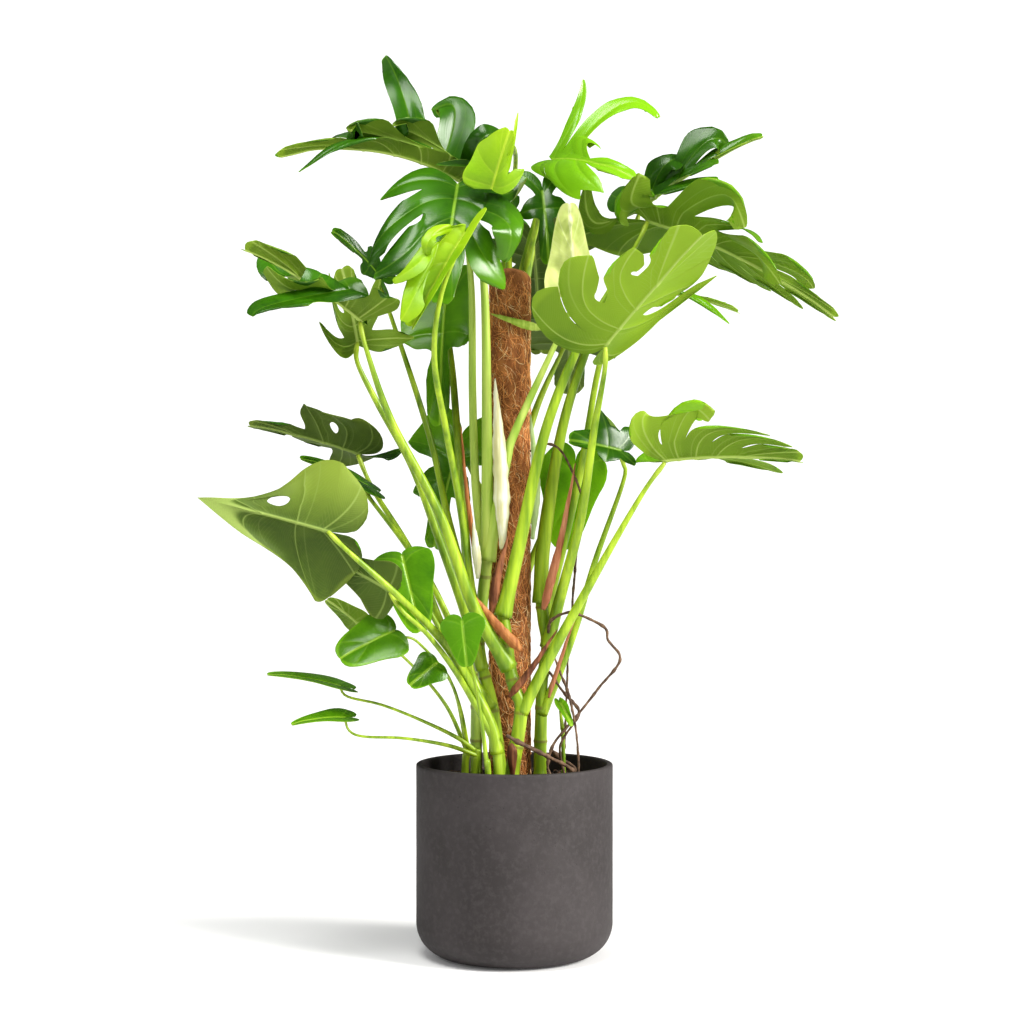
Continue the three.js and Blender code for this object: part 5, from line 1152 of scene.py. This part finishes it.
def build_stems():
    green = stalk_material("stalk_green", (0.13, 0.24, 0.009), (0.40, 0.55, 0.030), (0.50, 0.63, 0.07))
    pale = stalk_material("stalk_pale", (0.30, 0.47, 0.055), (0.54, 0.66, 0.15), (0.46, 0.62, 0.10))
    leaves = {leaf["name"]: leaf for leaf in LEAVES}
    for stem in STEMS:
        parts, left, ring = [], [], []
        foot = [[*stem["foot"], STEM_FOOT + 40], [*stem["foot"], POT_HEIGHT], *stem["path"]]
        body = tube(foot, stem["radii"], 22, 4, node_rings(NODE_SPACING))
        parts.append(body)
        left.append(body.left + 60)
        ring.append(near_line(from_node(body.along, NODE_SPACING), 3.5))
        for points, radii in stalk_parts(stem, leaves):
            stalk = tube(points, radii, 16, 8, knee)
            parts.append(stalk)
            left.append(stalk.left)
            ring.append(np.zeros(len(stalk.left)))
        points, faces = joined(parts)
        tone, material = ("pale", pale) if stem.get("tone") == "pale" else ("green", green)
        new_piece(stem["name"] + "_fine", points, faces, [material],
                  marks={"left": np.concatenate(left), "ring": np.concatenate(ring)},
                  replaced=[stem["name"]], slot=f"{tone}_stalk")
    return green


def build_shoots(green, materials):
    for shoot in SHOOTS:
        points, faces, slots = [], [], []
        marks = {name: [] for name in ("midrib", "vein", "twig", "out", "painted_light", "left", "ring")}
        size = 0

        def add(part_points, part_faces, part_slots, part_marks):
            nonlocal size
            points.append(part_points)
            faces.extend(tuple(v + size for v in face) for face in part_faces)
            slots.extend(part_slots)
            for name, values in marks.items():
                values.append(part_marks.get(name, np.zeros(len(part_points))))
            size += len(part_points)

        foot = [[*shoot["foot"], STEM_FOOT + 40], [*shoot["foot"], POT_HEIGHT], *shoot["path"]]
        body = tube(foot, shoot["radii"], 16, 4, node_rings(SHOOT_SPACING))
        add(body.points, body.faces, [0] * len(body.faces), {"left": body.left + 60})
        for leaf in shoot["leaves"]:
            stalk = tube([*leaf["stalk"], leaf["at"]], [4, 2.5, 2], 12, 6)
            add(stalk.points, stalk.faces, [0] * len(stalk.faces), {"left": stalk.left + 10})
            shell = blade_shell(leaf, SMALL_BLADE_LOOK)
            marks_here = {**shell.marks, "painted_light": painted_light(leaf, shell.points)}
            add(shell.points, shell.faces, [slot + 1 for slot in shell.slots], marks_here)
        look = materials["dark" if shoot["name"] == "shoot_glossy" else "mid"]
        new_piece(shoot["name"] + "_fine", np.concatenate(points), faces, [green, *look], slots,
                  {name: np.concatenate(values) for name, values in marks.items()},
                  replaced=[shoot["name"]], slot="green_leaf")


def build_roots():
    material = plain_material("root", (0.055, 0.030, 0.018), (0.20, 0.12, 0.07), 90, 0.75, 260, 0.6)
    for root in ROOTS:
        end = [[*root["end"], SOIL_TOP + ROOT_DROP], [*root["end"], SOIL_TOP + 0.35]]
        turn = np.random.default_rng(len(root["name"]))
        knots = turn.uniform(0, 1, 12)

        def knotted(run, length, knots=knots):
            swell = sum(np.exp(-((run - knot * length) / 4) ** 2) for knot in knots)
            return 0.92 + 0.35 * swell + 0.08 * np.sin(run / 3.1)

        part = tube([*root["path"], *end], root["radii"], 10, 3, knotted)
        wobble = np.stack([waves(part.points, 26, seed) for seed in (1, 2, 3)], axis=1)
        new_piece(root["name"] + "_fine", part.points + wobble * 0.8, part.faces, [material],
                  replaced=[root["name"]], slot="root_brown")


def lathe(profile, sides):
    """Points and faces of a profile turned round +Z. It starts and ends on the axis."""
    angle = np.linspace(0, 2 * math.pi, sides, endpoint=False)
    rings = np.array([[(r * math.cos(a), r * math.sin(a), z) for a in angle] for r, z in profile[1:-1]])
    points = np.vstack([rings.reshape(-1, 3), [[0, 0, profile[0][1]], [0, 0, profile[-1][1]]]])
    count = len(rings)
    index = np.arange(count * sides).reshape(count, sides)
    beside = np.roll(index, -1, axis=1)
    faces = np.stack([index[:-1], beside[:-1], beside[1:], index[1:]], axis=-1).reshape(-1, 4)
    faces = [tuple(face) for face in faces.tolist()]
    first, last = count * sides, count * sides + 1
    faces += [(first, b, a) for a, b in zip(index[0].tolist(), beside[0].tolist())]
    faces += [(last, a, b) for a, b in zip(index[-1].tolist(), beside[-1].tolist())]
    return points, faces


RIM_ROUND = 3.5
POT_SIDES = 144
SOIL_SIDES = 110
CORE_SIDES = 72


def build_pot():
    """The pot's turned wall with a rounded rim, and a face that is very slightly uneven."""
    profile = [(0, 0), (POT_FOOT_RADIUS, 0), (POT_FOOT_RADIUS, POT_FOOT_STEP)]
    middle = POT_RADIUS - POT_CORNER
    for angle in np.radians(np.linspace(-72, 0, 16)):
        profile.append((middle + POT_CORNER * math.cos(angle), POT_CORNER + POT_CORNER * math.sin(angle)))
    for z in np.linspace(POT_CORNER + 14, POT_HEIGHT - 8, 22):
        profile.append((POT_RADIUS, z))
    inside = POT_RADIUS - POT_WALL
    for middle, first, last in ((POT_RADIUS - RIM_ROUND, 10, 80), (inside + RIM_ROUND, 100, 170)):
        for angle in np.radians(np.linspace(first, last, 5)):
            profile.append((middle + RIM_ROUND * math.cos(angle),
                            POT_HEIGHT - RIM_ROUND + RIM_ROUND * math.sin(angle)))
    profile += [(inside, POT_HEIGHT - 10), (inside, POT_CORNER), (inside - 14, POT_FLOOR + 12)]
    profile += [(inside - 40, POT_FLOOR), (0, POT_FLOOR)]
    points, faces = lathe(profile, POT_SIDES)
    radius = np.hypot(points[:, 0], points[:, 1])
    wall = (radius > POT_FOOT_RADIUS + 6) & (points[:, 2] > POT_FOOT_STEP + 6)
    dent = (waves(points, 150, 5) * 0.35 - 0.4) * wall
    points[:, :2] *= (1 + dent / np.maximum(radius, 1))[:, None]
    new_piece("pot_fine", points, faces, [clay_material()], replaced=["pot"], slot="fibre_clay")


ROOTLETS = 46


def build_soil():
    """Dark crumbly soil: an uneven top with bark bits, clods and fine rootlets."""
    earth = plain_material("earth", (0.010, 0.0065, 0.0045), (0.045, 0.028, 0.018), 60, 0.92, 240, 0.9, 0.004)
    bark = plain_material("bark", (0.035, 0.018, 0.010), (0.14, 0.075, 0.04), 40, 0.85, 180, 0.7)
    rootlet = plain_material("rootlet", (0.12, 0.07, 0.04), (0.30, 0.20, 0.12), 60, 0.8, 200, 0.4)
    inside = POT_RADIUS - POT_WALL - CLEAR
    radii = [4, *np.linspace(10, inside, 34)]
    profile = [(0, SOIL_TOP), *[(r, SOIL_TOP) for r in radii], (inside, SOIL_TOP - 30), (0, SOIL_TOP - 30)]
    points, faces = lathe(profile[::-1], SOIL_SIDES)
    top = points[:, 2] > SOIL_TOP - 1
    height = waves(points, 46, 11) * 4.5 + waves(points, 14, 12) * 3 + waves(points, 7, 13) * 1.2
    points[:, 2] += (height - 6) * top
    new_piece("soil_fine", points, faces, [earth], replaced=["soil"], slot="potting_soil")

    turn = np.random.default_rng(21)
    for name, material, count, size, squash in (("soil_clods", earth, 420, (3, 7.5), 0.75),
                                                ("soil_bark", bark, 120, (4, 10), 0.3)):
        points, faces = [], []
        for _ in range(count):
            away = math.sqrt(turn.uniform(0.01, 1)) * (inside - 9)
            angle = turn.uniform(0, 2 * math.pi)
            at = np.array([away * math.cos(angle), away * math.sin(angle), SOIL_TOP - 3])
            lump, lump_faces = pebble(turn.uniform(*size), squash, turn)
            faces += [tuple(v + len(points) for v in face) for face in lump_faces]
            points += (lump + at).tolist()
        points = np.array(points)
        points[:, 2] = np.minimum(points[:, 2], SOIL_TOP + 9)
        new_piece(name, points, faces, [material], slot="potting_soil")
    parts = []
    for _ in range(ROOTLETS):
        away = math.sqrt(turn.uniform(0.05, 1)) * (inside - 16)
        angle = turn.uniform(0, 2 * math.pi)
        at = np.array([away * math.cos(angle), away * math.sin(angle), SOIL_TOP - 3])
        heading = turn.uniform(0, 2 * math.pi)
        path = []
        for step in range(6):
            path.append(at.copy())
            heading += turn.uniform(-0.7, 0.7)
            at = at + np.array([math.cos(heading), math.sin(heading), 0]) * turn.uniform(6, 12)
            at[2] = SOIL_TOP - 1 + turn.uniform(0, 5) * (step < 4)
            reach = math.hypot(at[0], at[1])
            at[:2] *= min(1, (inside - 4) / reach)
        parts.append(tube(path, [turn.uniform(0.5, 1.3), 0.4], 6, 4))
    points, faces = joined(parts)
    new_piece("soil_rootlets", points, faces, [rootlet], slot="potting_soil")


def pebble(size, squash, turn):
    """A small rough lump with a flat turn of its own."""
    rings, around = 4, 7
    points, faces = [], []
    for i in range(1, rings):
        tilt = math.pi * i / rings
        for j in range(around):
            angle = 2 * math.pi * (j + 0.5 * (i % 2)) / around
            rough = turn.uniform(0.7, 1.15)
            points.append([rough * math.sin(tilt) * math.cos(angle), rough * math.sin(tilt) * math.sin(angle),
                           rough * math.cos(tilt)])
    points += [[0, 0, 1], [0, 0, -1]]
    for i in range(rings - 2):
        for j in range(around):
            a, b = i * around + j, i * around + (j + 1) % around
            faces.append((a, a + around, b + around, b))
    crown, foot = len(points) - 2, len(points) - 1
    faces += [(crown, j, (j + 1) % around) for j in range(around)]
    last = (rings - 2) * around
    faces += [(foot, last + (j + 1) % around, last + j) for j in range(around)]
    stretch = np.array([turn.uniform(0.6, 1.2), turn.uniform(0.5, 1), squash]) * size
    points = np.array(points) * stretch
    angle = turn.uniform(0, 2 * math.pi)
    lean = turn.uniform(-0.5, 0.5)
    spin = np.array([[math.cos(angle), -math.sin(angle), 0],
                     [math.sin(angle), math.cos(angle), 0], [0, 0, 1]])
    tip = np.array([[1, 0, 0], [0, math.cos(lean), -math.sin(lean)], [0, math.sin(lean), math.cos(lean)]])
    return points @ tip.T @ spin.T, faces


# Number of fibres, and depth of the mat that they form on the core
FIBRES = 5200
MAT_DEPTH = 2.5


def build_pole():
    """The coir sleeve: a rough core with thousands of crossing fibres on it."""
    core = plain_material("coir_core", (0.20, 0.075, 0.024), (0.50, 0.21, 0.07), 55, 0.95, 300, 0.9, 0.003,
                          (1, 1, 0.35))
    strands = [
        plain_material("coir_dark", (0.32, 0.12, 0.036), (0.56, 0.23, 0.08), 60, 0.75),
        plain_material("coir_mid", (0.70, 0.31, 0.10), (0.90, 0.46, 0.17), 60, 0.7),
        plain_material("coir_light", (0.86, 0.56, 0.27), (0.95, 0.76, 0.46), 60, 0.65),
    ]
    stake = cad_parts["pole_stake"]
    stake.data.materials.clear()
    stake.data.materials.append(plain_material("stake_wood", (0.20, 0.12, 0.06), (0.42, 0.28, 0.16), 24, 0.8,
                                               120, 0.4, 0.001, (1, 1, 0.15)))
    radius, top, dome = POLE["radius"], POLE["top"], POLE["dome"]
    core_radius = radius - MAT_DEPTH
    profile = [(0, POLE["bottom"]), (core_radius, POLE["bottom"])]
    profile += [(core_radius, z) for z in np.linspace(POLE["bottom"] + 20, top - dome, 150)]
    for part in np.linspace(0.1, 0.95, 7):
        height = top - dome + (dome - MAT_DEPTH) * part
        profile.append((core_radius * math.sqrt(1 - part ** 2), height))
    profile.append((0, top - MAT_DEPTH))
    points, faces = lathe(profile, CORE_SIDES)
    points[:, 0] += POLE["x"]
    points[:, 1] += POLE["y"]
    outward = points - np.array([POLE["x"], POLE["y"], 0])
    outward[:, 2] = 0
    outward /= np.maximum(np.linalg.norm(outward, axis=1, keepdims=True), 1e-6)
    rough = waves(points * [1, 1, 0.4], 16, 31) * 1.6 + waves(points * [1, 1, 0.3], 6, 32) * 1.1
    points += outward * np.minimum(rough, 2)[:, None]
    new_piece("pole_fine", points, faces, [core], replaced=["coir_sleeve"], slot="coir_fibre")

    turn = np.random.default_rng(33)
    groups = [[], [], []]
    for index in range(FIBRES):
        angle = turn.uniform(0, 2 * math.pi)
        z = turn.uniform(SOIL_TOP - 10, top - dome - 2)
        lean = turn.normal(0, 0.55) + (0.5 if index % 3 == 0 else -0.5)
        length = turn.uniform(16, 60)
        curve = turn.normal(0, 1.1)
        lift = turn.uniform(-1.5, 0.6)
        path = []
        for step in np.linspace(-0.5, 0.5, 5):
            run = step * length
            height = z + run * math.cos(lean + curve * step)
            swing = angle + run * math.sin(lean + curve * step) / radius
            away = radius - 1 + lift + turn.uniform(-0.6, 0.6) - 1.6 * abs(step * 2) ** 3
            over = height - (top - dome)
            if over > 0:
                away = away * math.sqrt(max(0.02, 1 - (over / dome) ** 2))
            away = min(away, radius - 0.2)
            height = min(height, top - 0.5)
            path.append([POLE["x"] + away * math.cos(swing), POLE["y"] + away * math.sin(swing), height])
        thick = turn.uniform(0.3, 0.68)
        tone = 0 if turn.uniform() < 0.3 else 1 if turn.uniform() < 0.72 else 2
        groups[tone].append(strand(np.array(path), thick))
    for name, group, material in zip(("dark", "mid", "light"), groups, strands):
        points, faces = joined(group)
        new_piece(f"coir_{name}_fibres", points, faces, [material], slot="coir_fibre")


def strand(path, thick):
    """A three-sided fibre along a path, thinner to both ends."""
    tangents = np.gradient(path, axis=0)
    tangents /= np.maximum(np.linalg.norm(tangents, axis=1, keepdims=True), 1e-9)
    out = path - np.array([POLE["x"], POLE["y"], 0])
    out[:, 2] = 0
    out /= np.maximum(np.linalg.norm(out, axis=1, keepdims=True), 1e-9)
    beside = np.cross(tangents, out)
    slim = (thick * np.array([0.3, 1, 1.1, 0.9, 0.25]))[:, None]
    points = np.stack([path + out * slim, path - out * slim * 0.5 + beside * slim,
                       path - out * slim * 0.5 - beside * slim], axis=1).reshape(-1, 3)
    faces = []
    for i in range(len(path) - 1):
        for j in range(3):
            a, b = i * 3 + j, i * 3 + (j + 1) % 3
            faces.append((a, b, b + 3, a + 3))
    last = len(points) - 3
    faces += [(2, 1, 0), (last, last + 1, last + 2)]
    return SimpleNamespace(points=points, faces=faces)


# Papery sheaths on the stalks: places from the foot up, half width, how late it narrows, and colour
SHEATHS = [
    dict(path=[[49, -42, 596], [77, -48, 707], [104, -46, 846]], half=7.5, full=0.12, tone="pink"),
    dict(path=[[-40, -84, 590], [-30, -88, 650], [-11, -82, 722]], half=8, full=0.35, tone="brown"),
    dict(path=[[-60, -58, 655], [-79, -62, 783], [-91, -60, 908]], half=5, full=0.1, tone="orange"),
    dict(path=[[12, -100, 530], [-28, -106, 572], [-84, -104, 640]], half=9, full=0.2, tone="orange"),
    dict(path=[[-10, -100, 452], [28, -106, 500], [72, -104, 566]], half=6, full=0.2, tone="brown"),
    dict(path=[[58, -66, 448], [80, -70, 520], [106, -70, 592]], half=3.5, full=0.2, tone="pink"),
    dict(path=[[-3, -105, 322], [-4, -107, 348], [-5, -106, 376]], half=8, full=0.8, tone="brown"),
    dict(path=[[-20, -62, 700], [-22, -66, 800], [-33, -62, 990]], half=13, full=0.45, tone="cream"),
    dict(path=[[31, -26, 716], [37, -30, 810], [27, -30, 930]], half=7, full=0.5, tone="pale"),
    dict(path=[[-62, -62, 650], [-64, -66, 690], [-70, -64, 745]], half=7, full=0.5, tone="cream"),
    dict(path=[[48, -14, 1078], [10, -29, 1086], [-41, -16, 1104]], half=7, full=0.3, tone="lime"),
]
SHEATH_COLUMNS = 13
SHEATH_THICKNESS = 0.7
SHEATH_TONES = {
    "brown": ((0.11, 0.035, 0.014), (0.42, 0.17, 0.07)),
    "pink": ((0.36, 0.13, 0.06), (0.66, 0.33, 0.18)),
    "orange": ((0.34, 0.12, 0.03), (0.66, 0.31, 0.10)),
    "cream": ((0.66, 0.64, 0.34), (0.86, 0.86, 0.72)),
    "pale": ((0.42, 0.58, 0.22), (0.66, 0.78, 0.42)),
    "lime": ((0.34, 0.52, 0.05), (0.66, 0.78, 0.20)),
}


def sheath_material(tone):
    dark, light = SHEATH_TONES[tone]
    s = Shader(f"sheath_{tone}")
    streak = s.span(s.noise(150, 4, 0.6, stretch=(1, 1, 0.06)), 0.36, 0.64)
    broad = s.span(s.noise(30, 4, 0.6, stretch=(1, 1, 0.3)), 0.35, 0.7, 0, 0.5)
    colour = s.mix(broad, s.mix(streak, dark, light), dark)
    s.coat(colour, 0.6)
    s.bump(s.noise(260, 4, 0.6, stretch=(1, 1, 0.06)), 0.6, 0.002)
    s.glow_through(light, 0.3)
    return s.material


def build_sheaths():
    """Long thin strips that stand beside the stalks, with fine ridges, torn edges and pointed ends."""
    made = {tone: sheath_material(tone) for tone in SHEATH_TONES}
    columns = np.linspace(-1, 1, SHEATH_COLUMNS)[None, :]
    for number, sheath in enumerate(SHEATHS, 1):
        path, run = smooth_path(sheath["path"], 3)
        part = (run / run[-1])[:, None]
        tangents, _, _ = path_frames(path)
        across = np.cross(tangents, [0.0, -1.0, 0.0])
        across /= np.linalg.norm(across, axis=1, keepdims=True)
        front = np.cross(across, tangents)
        rise = np.minimum(1, 0.35 + part / sheath["full"])
        fall = np.clip((1 - part) / (1 - sheath["full"]), 0, 1) ** 0.75
        torn = 1 + 0.07 * np.sin(part * 31 + number) * np.sin(part * 13) + 0.04 * np.sin(part * 71)
        half = sheath["half"] * rise * np.minimum(1, fall) * torn + 0.35
        ridges = 0.28 * np.sin(columns * 14 + 2 * np.sin(part * 5 + number))
        bulge = 0.55 * half * (1 - columns ** 2) + ridges
        places = (path[:, None] + across[:, None] * (columns * half)[..., None]
                  + front[:, None] * bulge[..., None]).reshape(-1, 3)
        places = places + (waves(places, 36, number) * 1.3)[:, None] * np.array([0.6, 0.5, 0])
        rows = len(path)
        index = np.arange(rows * SHEATH_COLUMNS).reshape(rows, SHEATH_COLUMNS)
        quads = np.stack([index[:-1, :-1], index[:-1, 1:], index[1:, 1:], index[1:, :-1]], -1).reshape(-1, 4)
        points, faces = thickened(places, quads, SHEATH_THICKNESS)
        new_piece(f"sheath_{number}", points, faces, [made[sheath["tone"]]])


def thickened(places, quads, thickness):
    """A closed thin shell from an open sheet."""
    half = vertex_normals(places, quads) * thickness / 2
    upper, under, rim = shell_faces(quads, len(places))
    return np.concatenate([places + half, places - half]), upper + under + sorted(rim)


FLOOR_HALF = 30


def build_stage():
    """A wide white floor."""
    material = bpy.data.materials.new("white_floor")
    material.use_nodes = True
    surface = material.node_tree.nodes["Principled BSDF"]
    surface.inputs["Base Color"].default_value = (0.92, 0.92, 0.92, 1)
    surface.inputs["Roughness"].default_value = 0.9
    surface.inputs["Specular IOR Level"].default_value = 0.1
    surface.inputs["Emission Color"].default_value = (1, 1, 1, 1)
    surface.inputs["Emission Strength"].default_value = 0.05
    mesh = bpy.data.meshes.new("floor")
    corners = [(-1, -1), (1, -1), (1, 1), (-1, 1)]
    mesh.from_pydata([(x * FLOOR_HALF, y * FLOOR_HALF, 0) for x, y in corners], [], [(0, 1, 2, 3)])
    mesh.materials.append(material)
    floor = placed("floor", mesh)


def area_light(name, place, size, power, colour, target=(0, 0, 0.8)):
    data = bpy.data.lights.new(name, "AREA")
    data.shape = "DISK"
    data.size = size
    data.energy = power
    data.color = colour
    light = placed(name, data)
    light.location = place
    light.rotation_euler = (Vector(target) - Vector(place)).to_track_quat("-Z", "Y").to_euler()


# Strength of the world for soft light and for gloss, and to the camera
WORLD_LIGHT = 0.4
WORLD_SHINE = 0.16
WORLD_SEEN = 1.0


def build_light():
    """White studio: soft light all round, a wide sun from the right and two soft round lights."""
    world = bpy.data.worlds.new("studio")
    bpy.context.scene.world = world
    world.use_nodes = True
    nodes = world.node_tree.nodes
    links = world.node_tree.links
    background = nodes["Background"]
    background.inputs["Color"].default_value = (1, 1, 1, 1)
    path = nodes.new("ShaderNodeLightPath")
    lit = nodes.new("ShaderNodeMapRange")
    lit.inputs["To Min"].default_value = WORLD_LIGHT
    lit.inputs["To Max"].default_value = WORLD_SHINE
    links.new(path.outputs["Is Glossy Ray"], lit.inputs["Value"])
    seen = nodes.new("ShaderNodeMapRange")
    seen.inputs["To Max"].default_value = WORLD_SEEN
    links.new(path.outputs["Is Camera Ray"], seen.inputs["Value"])
    links.new(lit.outputs["Result"], seen.inputs["To Min"])
    links.new(seen.outputs["Result"], background.inputs["Strength"])
    data = bpy.data.lights.new("key", "SUN")
    data.energy = 4.3
    data.angle = math.radians(24)
    data.color = (1.0, 0.985, 0.95)
    key = placed("key", data)
    key.rotation_euler = Vector((2.6, -1.25, 1.5)).to_track_quat("Z", "Y").to_euler()
    area_light("top", (-0.5, -1.4, 3.2), 1.4, 60, (1.0, 1.0, 0.98))
    area_light("left_box", (-2.6, -2.4, 2.6), 1.2, 16, (1.0, 1.0, 1.0), (0, 0, 1.1))


def build_camera():
    data = bpy.data.cameras.new("camera")
    data.lens = 73.3
    data.sensor_width = 36
    camera = placed("camera", data)
    camera.location = (-0.0043, -3.6, 0.763)
    camera.rotation_euler = (math.radians(90), 0, 0)
    bpy.context.scene.camera = camera


blades = build_leaves()
stalks = build_stems()
build_shoots(stalks, blades)
build_roots()
build_pot()
build_soil()
build_pole()
build_sheaths()
build_stage()
build_light()
build_camera()
bpy.context.scene.view_settings.view_transform = "Standard"
bpy.context.scene.view_settings.look = "Medium High Contrast"
